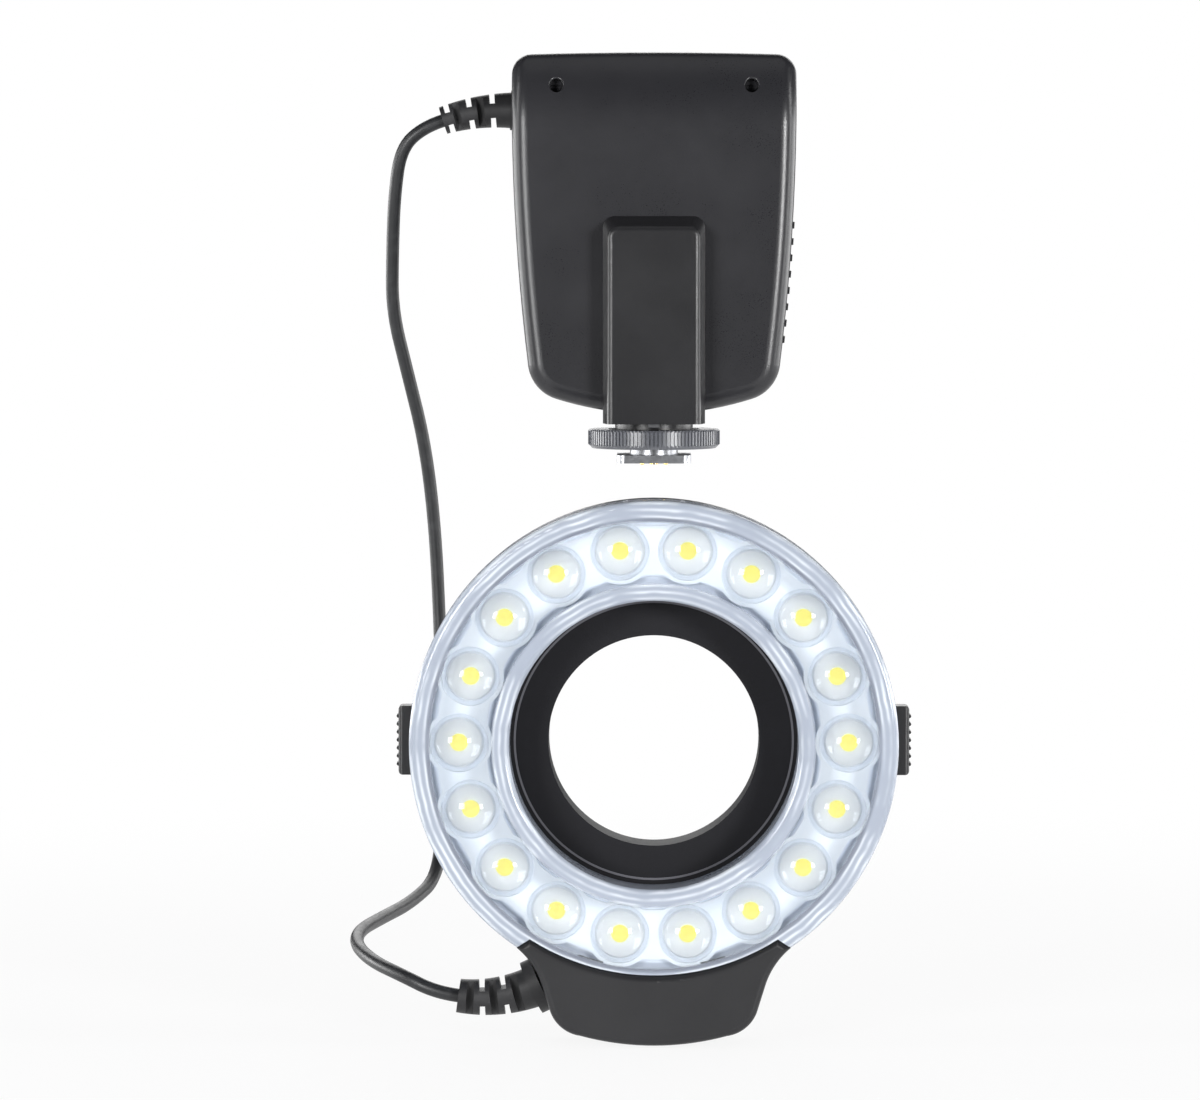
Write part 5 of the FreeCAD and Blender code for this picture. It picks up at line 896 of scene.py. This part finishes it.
@dataclass
class ControllerTrim:
    """Printed and moulded marks on the controller's rear and on its battery door.

    Pairs that place a mark are its distance to the right and up in the front view.
    """

    signs: tuple[tuple[str, Sign], ...] = (
        ("mode_button", Sign.BARS),
        ("lamp_button", Sign.LAMP),
        ("test_button", Sign.ARROW),
        ("minus_button", Sign.MINUS),
        ("power_button", Sign.POWER),
        ("plus_button", Sign.PLUS),
    )
    sign_depth: float = 0.00012
    stroke: float = 0.00045
    bar_length: float = 0.0026
    bar_pitch: float = 0.0009
    lamp_radius: float = 0.0009
    ray_step: int = 45
    ray_radius: float = 0.0019
    ray_size: Span = (0.00036, 0.0008)
    bolt_leg: Span = (0.00035, 0.00075)
    bolt_leg_length: float = 0.0019
    bolt_bar_length: float = 0.0018
    bolt_lean: float = 35.0
    power_radius: float = 0.0013
    power_start: float = 35.0
    power_sweep: float = 290.0
    power_bar_rise: float = 0.001
    power_bar_length: float = 0.0015

    segment_depth: float = 0.00004
    display_lift: float = 0.00006
    digits: tuple[tuple[Span, str], ...] = (((0.0075, 0.0015), "bc"), ((-0.0005, 0.0015), "abdeg"))
    digit_height: float = 0.0085
    digit_width: float = 0.0046
    digit_stroke: float = 0.0009
    digit_share: float = 0.8
    power_steps: int = 8
    step_corner: Span = (0.0145, -0.0088)
    step_pitch: float = 0.0038
    step_width: float = 0.0028
    step_height: float = 0.001
    step_growth: float = 0.00022
    cell_middle: Span = (-0.0135, 0.0088)
    cell_size: Span = (0.0048, 0.0022)
    cell_side_height: float = 0.0024
    cell_line: float = 0.00028
    charge_pitch: float = 0.0012
    charge_size: Span = (0.0008, 0.0015)

    border_lift: float = 0.00012
    border_band: float = 0.0034
    border_depth: float = 0.00008

    arrow_drop: float = 0.020
    arrow_proud: float = 0.00015
    arrow_stroke: float = 0.0009
    arrow_leg: float = 0.0052
    arrow_leg_offset: float = 0.0017
    arrow_bar: float = 0.0068
    arrow_bar_rise: float = 0.0075
    door_flank: tuple[Span, ...] = (
        (0.0693, 0.03514),
        (0.0749, 0.03534),
        (0.0805, 0.03548),
        (0.0861, 0.03557),
    )

    def sign(self, button: str, kind: Sign) -> None:
        """Print one sign on a button's face, so that it travels with the button.

        Args:
            button: the button's node, which is also its body.
            kind: the sign.
        """
        centre = middle_of(button)
        centre.y = rear_of(button) + self.sign_depth / 2
        work = Workpiece(button + "_sign")
        deep, stroke = self.sign_depth, self.stroke
        if kind is Sign.BARS:
            for row in (-1, 0, 1):
                middle = centre + at(0.0, row * self.bar_pitch)
                work.bar(middle, (self.bar_length, deep, stroke))
        elif kind is Sign.LAMP:
            work.hoop(centre, self.lamp_radius, stroke, deep)
            wide, tall = self.ray_size
            for degrees in range(0, int(FULL_TURN), self.ray_step):
                angle = math.radians(degrees)
                middle = centre + at(math.sin(angle), math.cos(angle)) * self.ray_radius
                work.bar(middle, (wide, deep, tall), degrees)
        elif kind is Sign.ARROW:
            leg = at(*self.bolt_leg)
            work.bar(centre + leg, (stroke, deep, self.bolt_leg_length), self.bolt_lean)
            work.bar(centre, (self.bolt_bar_length, deep, stroke))
            work.bar(centre - leg, (stroke, deep, self.bolt_leg_length), self.bolt_lean)
        elif kind is Sign.POWER:
            work.hoop(
                centre, self.power_radius, stroke, deep, self.power_start, self.power_sweep
            )
            middle = centre + at(0.0, self.power_bar_rise)
            work.bar(middle, (stroke, deep, self.power_bar_length))
        else:
            work.bar(centre, (self.bar_length, deep, stroke))
            if kind is Sign.PLUS:
                work.bar(centre, (stroke, deep, self.bar_length))
        work.finish(button, "white_plastic", Finish.PRINT)

    def digit(self, work: Workpiece, middle: Vector, lit: str) -> None:
        """Add the lit segments of one digit, named a to g as on any such display.

        Args:
            work: the mesh that they are added to.
            middle: the digit's middle.
            lit: the letters of the lit segments.
        """
        out = self.digit_width / 2
        top = self.digit_height / 2
        flat = (self.digit_width * self.digit_share, self.segment_depth, self.digit_stroke)
        tall = (self.digit_stroke, self.segment_depth, top * self.digit_share)
        places = {
            "a": (at(0.0, top), flat),
            "b": (at(-out, top / 2), tall),
            "c": (at(-out, -top / 2), tall),
            "d": (at(0.0, -top), flat),
            "e": (at(out, -top / 2), tall),
            "f": (at(out, top / 2), tall),
            "g": (at(0.0, 0.0), flat),
        }
        for letter in lit:
            place, size = places[letter]
            work.bar(middle + place, size)

    def display(self) -> None:
        """Show two digits, a row of power steps and a cell sign behind the window."""
        centre = middle_of("display_module")
        centre.y = rear_of("display_module") + self.display_lift
        work = Workpiece("display_segments")
        for place, lit in self.digits:
            self.digit(work, centre + at(*place), lit)
        right, foot = self.step_corner
        for step in range(self.power_steps):
            height = self.step_height + step * self.step_growth
            middle = centre + at(right - step * self.step_pitch, foot + height / 2)
            work.bar(middle, (self.step_width, self.segment_depth, height))
        cell = centre + at(*self.cell_middle)
        wide, tall = self.cell_size
        for side in (-1, 1):
            size = (wide, self.segment_depth, self.cell_line)
            work.bar(cell + at(0.0, side * tall / 2), size)
        for side in (-1, 1):
            size = (self.cell_line, self.segment_depth, self.cell_side_height)
            work.bar(cell + at(side * wide / 2, 0.0), size)
        for side in (-1, 0, 1):
            size = (self.charge_size[0], self.segment_depth, self.charge_size[1])
            work.bar(cell + at(side * self.charge_pitch, 0.0), size)
        work.finish("base", "display_glass", Finish.SEGMENT)

    def window_border(self) -> None:
        """Print the dark border round the inside of the window."""
        low, high = (Vector(corner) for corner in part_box("display_window"))
        centre = (low + high) / 2
        centre.y = rear_of("display_module") + self.border_lift
        size = high - low
        work = Workpiece("window_border")
        work.frame(centre, size.x, size.z, self.border_band, self.border_depth)
        work.finish("base", "display_glass", Finish.BORDER)

    def door_arrow(self) -> None:
        """Mould the arrow that shows the way the battery door slides, with a bar above it."""
        low, high = (Vector(corner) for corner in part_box("battery_door"))
        work = Workpiece("door_arrow")
        tip = Vector((0.0, (low.y + high.y) / 2, high.z - self.arrow_drop))
        thick = self.arrow_proud * 2
        offset = self.arrow_leg_offset
        for side in (-1, 1):
            leg = tip + Vector((0.0, side * offset, offset))
            work.bar(leg, (thick, self.arrow_stroke, self.arrow_leg), side * 45.0, "X")
        work.bar(tip + at(0.0, self.arrow_bar_rise), (thick, self.arrow_bar, self.arrow_stroke))
        for corner in work.form.verts:
            corner.co.x += self.flank_at(corner.co.z)
        work.finish("battery_door", "case_black", Finish.CASE)

    def flank_at(self, height: float) -> float:
        """How far out the door's bowed face stands.

        Args:
            height: the height that is asked for.

        Returns:
            Its X there, in metres.
        """
        for (low_z, low_x), (high_z, high_x) in zip(self.door_flank, self.door_flank[1:]):
            if height <= high_z:
                return low_x + (high_x - low_x) * (height - low_z) / (high_z - low_z)
        return self.door_flank[-1][1]

    def build(self) -> None:
        """Make every mark on the controller."""
        for button, kind in self.signs:
            self.sign(button, kind)
        self.display()
        self.window_border()
        self.door_arrow()


@dataclass
class RingTrim:
    """A painted highlight line and painted slot shade of the ring head, round its own axis."""

    line_front: float = -0.0973
    line_radius: float = 0.03295
    line_width: float = 0.0005
    line_depth: float = 0.0003
    line_proud: float = 0.00005
    tray_front: float = -0.1033
    slot_shade_lift: float = 0.0004
    slot_shade_radius: float = 0.0540
    slot_shade_width: float = 0.0016
    slot_shade_depth: float = 0.0006
    slot_shade_middles: tuple[float, ...] = (196.2, 164.8)
    slot_shade_sweep: float = 6.5

    def adapter_rim_highlight(self) -> None:
        """Paint a highlight into the outer groove of the adapter's face, as a fine grey line."""
        # painted highlight: a fine grey line in the groove, where its edge catches the light
        work = Workpiece("adapter_rim_highlight_line")
        depth = self.line_front - self.line_proud + self.line_depth / 2
        middle = Vector((0.0, depth, RING_AXIS_Z))
        work.hoop(middle, self.line_radius, self.line_width, self.line_depth)
        work.finish("adapter", "case_black", Finish.RIM_HIGHLIGHT)

    def chin_slot_shade(self) -> None:
        """Place two dark arcs in front of the tray: painted shade in the slots by the chin's lip.
        """
        # painted shade: dark arcs where the slots by the chin lie in shade
        work = Workpiece("chin_slot_shade")
        middle = Vector((0.0, self.tray_front - self.slot_shade_lift, RING_AXIS_Z))
        size = (self.slot_shade_radius, self.slot_shade_width, self.slot_shade_depth)
        for degrees in self.slot_shade_middles:
            work.hoop(middle, *size, start=degrees - self.slot_shade_sweep / 2, sweep=self.slot_shade_sweep)
        work.finish("base", "case_black", Finish.RING_BLACK)

    def build(self) -> None:
        """Make the ring's trim."""
        self.adapter_rim_highlight()
        self.chin_slot_shade()


@dataclass
class LinkCord:
    """The cord between both strain reliefs: it hangs behind the shoe and comes forward below it."""

    diameter: float = 0.0033
    length: float = 0.3395
    around: int = 6
    along: int = 12
    route: tuple[Place, ...] = (
        (-0.053253, 0.0040, 0.086063),
        (-0.058199, 0.0040, 0.084456),
        (-0.0640, 0.0052, 0.0790),
        (-0.0658, 0.0086, 0.0670),
        (-0.0665, 0.0134, 0.0535),
        (-0.0669, 0.0186, 0.0380),
        (-0.0632, 0.0235, 0.0220),
        (-0.0590, 0.0286, 0.0040),
        (-0.0566, 0.0330, -0.0170),
        (-0.0554, 0.0355, -0.0430),
        (-0.0548, 0.0340, -0.0690),
        (-0.0546, 0.0270, -0.0905),
        (-0.0550, 0.0140, -0.1068),
        (-0.0614, -0.0060, -0.1113),
        (-0.0680, -0.0270, -0.1127),
        (-0.0726, -0.0480, -0.1134),
        (-0.0722, -0.0670, -0.1146),
        (-0.0672, -0.0850, -0.1163),
        (-0.0596, -0.0970, -0.1181),
        (-0.051618, -0.1000, -0.121688),
        (-0.046271, -0.1000, -0.122440),
    )

    def build(self) -> bpy.types.Object:
        """Returns:
            The cord's curve.
        """
        data = bpy.data.curves.new("link_cord_curve", "CURVE")
        data.dimensions = "3D"
        data.bevel_depth = self.diameter / 2
        data.bevel_resolution = self.around
        data.resolution_u = self.along
        data.use_fill_caps = True
        line = data.splines.new("NURBS")
        line.points.add(len(self.route) - 1)
        for point, place in zip(line.points, self.route):
            point.co = (*place, 1.0)
        line.order_u = 3
        line.use_endpoint_u = True
        data.materials.append(palette[Finish.CORD])
        cord = bpy.data.objects.new("link_cord_jacket", data)
        bpy.context.scene.collection.objects.link(cord)
        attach(cord, "base")
        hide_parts("link_cord")
        self.route[0]
        log.info("cord: %d control points", len(self.route))
        return cord


@dataclass(frozen=True)
class Lamp:
    """One soft box: where it hangs, what it faces, its width and height, and its watts."""

    name: str
    place: Place
    aim: Place
    size: Span
    power: float

    def hang(self) -> None:
        """Put the lamp into the scene."""
        data = bpy.data.lights.new(self.name, "AREA")
        data.shape = "RECTANGLE"
        data.size, data.size_y = self.size
        data.energy = self.power
        box = bpy.data.objects.new(self.name, data)
        box.location = self.place
        way = Vector(self.aim) - Vector(self.place)
        box.rotation_euler = way.to_track_quat("-Z", "Y").to_euler()
        bpy.context.scene.collection.objects.link(box)


@dataclass
class Studio:
    """The pale floor and backdrop, the soft lamps and the camera.

    Two soft keys stand in front, a tall strip and a low wall beside each flank, and weaker light
    comes from above and behind.
    """

    floor_z: float
    floor_radius: float = 1.1
    floor_corners: int = 96
    paper_colour: Colour = (0.86, 0.86, 0.87)
    paper_roughness: float = 0.9
    paper_white: float = 0.88
    shadow_reach: Span = (0.12, 0.5)
    fill_colour: Colour = (0.95, 0.97, 1.0)
    fill: float = 0.035
    camera_place: Place = (0.0, -1.512, 0.063)
    camera_turn: Place = (math.radians(90.0 - 3.228), 0.0, math.radians(0.516))
    focal_length: float = 179.76
    sensor_width: float = 36.0
    lamps: tuple[Lamp, ...] = (
        Lamp("left_key", (-0.80, -1.25, 0.16), (0.0, -0.05, 0.0), (0.5, 0.5), 14.0),
        Lamp("right_key", (0.84, -1.22, 0.12), (0.0, -0.05, 0.0), (0.3, 0.34), 14.5),
        Lamp("left_strip", (-1.2, -0.25, 0.05), (0.0, 0.0, 0.0), (0.25, 1.5), 8.0),
        Lamp("right_strip", (1.2, -0.25, 0.05), (0.0, 0.0, 0.0), (0.25, 1.5), 9.5),
        Lamp("top_box", (0.0, -0.3, 1.4), (0.0, -0.05, 0.0), (1.2, 0.7), 1.2),
        Lamp("left_wall", (-1.0, 0.45, 0.035), (0.0, 0.0, 0.035), (0.9, 0.31), 6.6),
        Lamp("right_wall", (1.0, 0.45, 0.035), (0.0, 0.0, 0.035), (0.9, 0.31), 4.4),
        Lamp("rear_box", (0.1, 1.3, 0.6), (0.0, -0.05, 0.0), (1.4, 0.9), 11.0),
    )

    def paper(self) -> bpy.types.Material:
        """White paper that the camera sees nearly plain white, with some of the object's shadow.

        Under the object, paper_white is the share of plain white in it. That share starts to grow
        at the first distance in shadow_reach and is whole at the second.

        Returns:
            The paper's material.
        """
        recipe = Recipe("floor_paper")
        recipe.main(Base_Color=self.paper_colour, Roughness=self.paper_roughness)
        rays = recipe.node("ShaderNodeLightPath").outputs
        seen = Value(recipe, rays["Is Camera Ray"]) + Value(recipe, rays["Is Glossy Ray"])
        seen = seen + Value(recipe, rays["Is Transmission Ray"])
        across = recipe.axis("X")
        back = recipe.axis("Y")
        away = ((across * across + back * back) ** 0.5).ramp(*self.shadow_reach)
        factor = seen * (self.paper_white + away * (1.0 - self.paper_white))
        glow = recipe.node("ShaderNodeEmission", {}, {"Color": WHITE, "Strength": 1.0})
        inputs = {0: factor, 1: recipe.shader.outputs[0], 2: glow.outputs[0]}
        mixed = recipe.node("ShaderNodeMixShader", {}, inputs)
        recipe.feed(recipe.output.inputs[0], mixed.outputs[0])
        return recipe.material

    def build_floor(self) -> None:
        """Lay the floor just under the object's lowest point."""
        form = bmesh.new()
        bmesh.ops.create_circle(
            form, cap_ends=True, segments=self.floor_corners, radius=self.floor_radius
        )
        bmesh.ops.translate(form, vec=(0.0, 0.0, self.floor_z), verts=form.verts)
        mesh = bpy.data.meshes.new("floor")
        form.to_mesh(mesh)
        form.free()
        floor = bpy.data.objects.new("floor", mesh)
        bpy.context.scene.collection.objects.link(floor)
        mesh.materials.append(self.paper())
        floor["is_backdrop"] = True

    def build_world(self) -> None:
        """A white world: plain white where it is seen, and a soft fill on the object."""
        world = bpy.data.worlds.new("studio_white")
        bpy.context.scene.world = world
        world.use_nodes = True
        tree = world.node_tree
        tree.nodes.clear()
        out = tree.nodes.new("ShaderNodeOutputWorld")
        fill = tree.nodes.new("ShaderNodeBackground")
        fill.inputs["Color"].default_value = (*self.fill_colour, 1.0)
        fill.inputs["Strength"].default_value = self.fill
        seen = tree.nodes.new("ShaderNodeBackground")
        seen.inputs["Color"].default_value = (*WHITE, 1.0)
        rays = tree.nodes.new("ShaderNodeLightPath")
        choose = tree.nodes.new("ShaderNodeMixShader")
        either = tree.nodes.new("ShaderNodeMath")
        either.operation = "MAXIMUM"
        tree.links.new(rays.outputs["Is Camera Ray"], either.inputs[0])
        tree.links.new(rays.outputs["Is Transmission Ray"], either.inputs[1])
        for place, source in enumerate((either, fill, seen)):
            tree.links.new(source.outputs[0], choose.inputs[place])
        tree.links.new(choose.outputs[0], out.inputs[0])

    def build_camera(self) -> None:
        """Set the camera up where the photograph was taken from."""
        data = bpy.data.cameras.new("camera")
        data.lens = self.focal_length
        data.sensor_fit = "HORIZONTAL"
        data.sensor_width = self.sensor_width
        camera = bpy.data.objects.new("camera", data)
        camera.location = self.camera_place
        camera.rotation_euler = self.camera_turn
        bpy.context.scene.collection.objects.link(camera)
        bpy.context.scene.camera = camera

    def build(self) -> None:
        """Build the whole studio."""
        bpy.context.scene.view_settings.view_transform = "Standard"
        self.build_floor()
        for lamp in self.lamps:
            lamp.hang()
        self.build_world()
        self.build_camera()
        log.info("studio: floor at %.4f m, %d lamps", self.floor_z, len(self.lamps))


DRESSED: dict[Finish, tuple[str, ...]] = {
    Finish.CASE: ("front_shell", "rear_shell", "battery_door"),
    Finish.BRACKET: ("foot_bracket", "shoe_collar"),
    Finish.RING_BLACK: (
        "ring_housing",
        "chin_cover",
        "ring_back_cover",
        "release_button_right",
        "release_button_left",
    ),
    Finish.ADAPTER: ("adapter_ring",),
    Finish.WHEEL: ("lock_wheel", "clamp_plate"),
    Finish.BUTTON: (
        "mode_button",
        "lamp_button",
        "test_button",
        "minus_button",
        "power_button",
        "plus_button",
        "button_mat",
    ),
    Finish.RELIEF: ("controller_strain_relief", "ring_strain_relief"),
    Finish.COVER: ("ring_front_cover",),
    Finish.LENS: ("led_lenses",),
    Finish.TRAY: ("reflector_tray",),
    Finish.EMITTER: ("led_emitters",),
    Finish.PHOSPHOR: ("led_phosphors",),
    Finish.KEY: ("collar_key",),
    Finish.SCREW: ("case_screws", "ring_screws"),
    Finish.STEEL: (
        "bracket_screws",
        "collar_screws",
        "board_spacers",
        "door_link",
        "door_hinge_pin",
    ),
    Finish.FOOT: ("shoe_foot",),
    Finish.SPRING: (
        "latch_spring_left",
        "latch_spring_right",
        "inner_contacts",
        "door_contacts",
    ),
    Finish.GOLD: ("centre_contact_pin", "side_contact_pins"),
    Finish.BOARD: ("control_board", "driver_board"),
    Finish.LED_BOARD: ("led_board",),
    Finish.CORE: (
        "contact_core",
        "driver_choke",
        "battery_tray",
        "latch_slide_right",
        "latch_slide_left",
    ),
    Finish.CELL: ("battery_cells",),
    Finish.SLEEVE: ("capacitors",),
    Finish.SCREEN: ("display_module",),
    Finish.WINDOW: ("display_window",),
    Finish.PILOT: ("pilot_lamp",),
}


def dress_nodes() -> None:
    """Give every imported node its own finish."""
    for finish, names in DRESSED.items():
        for name in names:
            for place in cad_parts[name].material_slots:
                place.material = palette[finish]
    log.info("finishes on %d nodes", sum(len(names) for names in DRESSED.values()))


def main() -> None:
    """Dress the light and set up its studio, with the floor just under its lowest point."""
    dress_nodes()
    LinkCord().build()
    ControllerTrim().build()
    RingTrim().build()
    lowest = cad_box[0][2]
    Studio(floor_z=lowest - FLOOR_GAP).build()


if __name__ == "__main__":
    logging.basicConfig(level=logging.INFO, format="%(message)s")
    main()
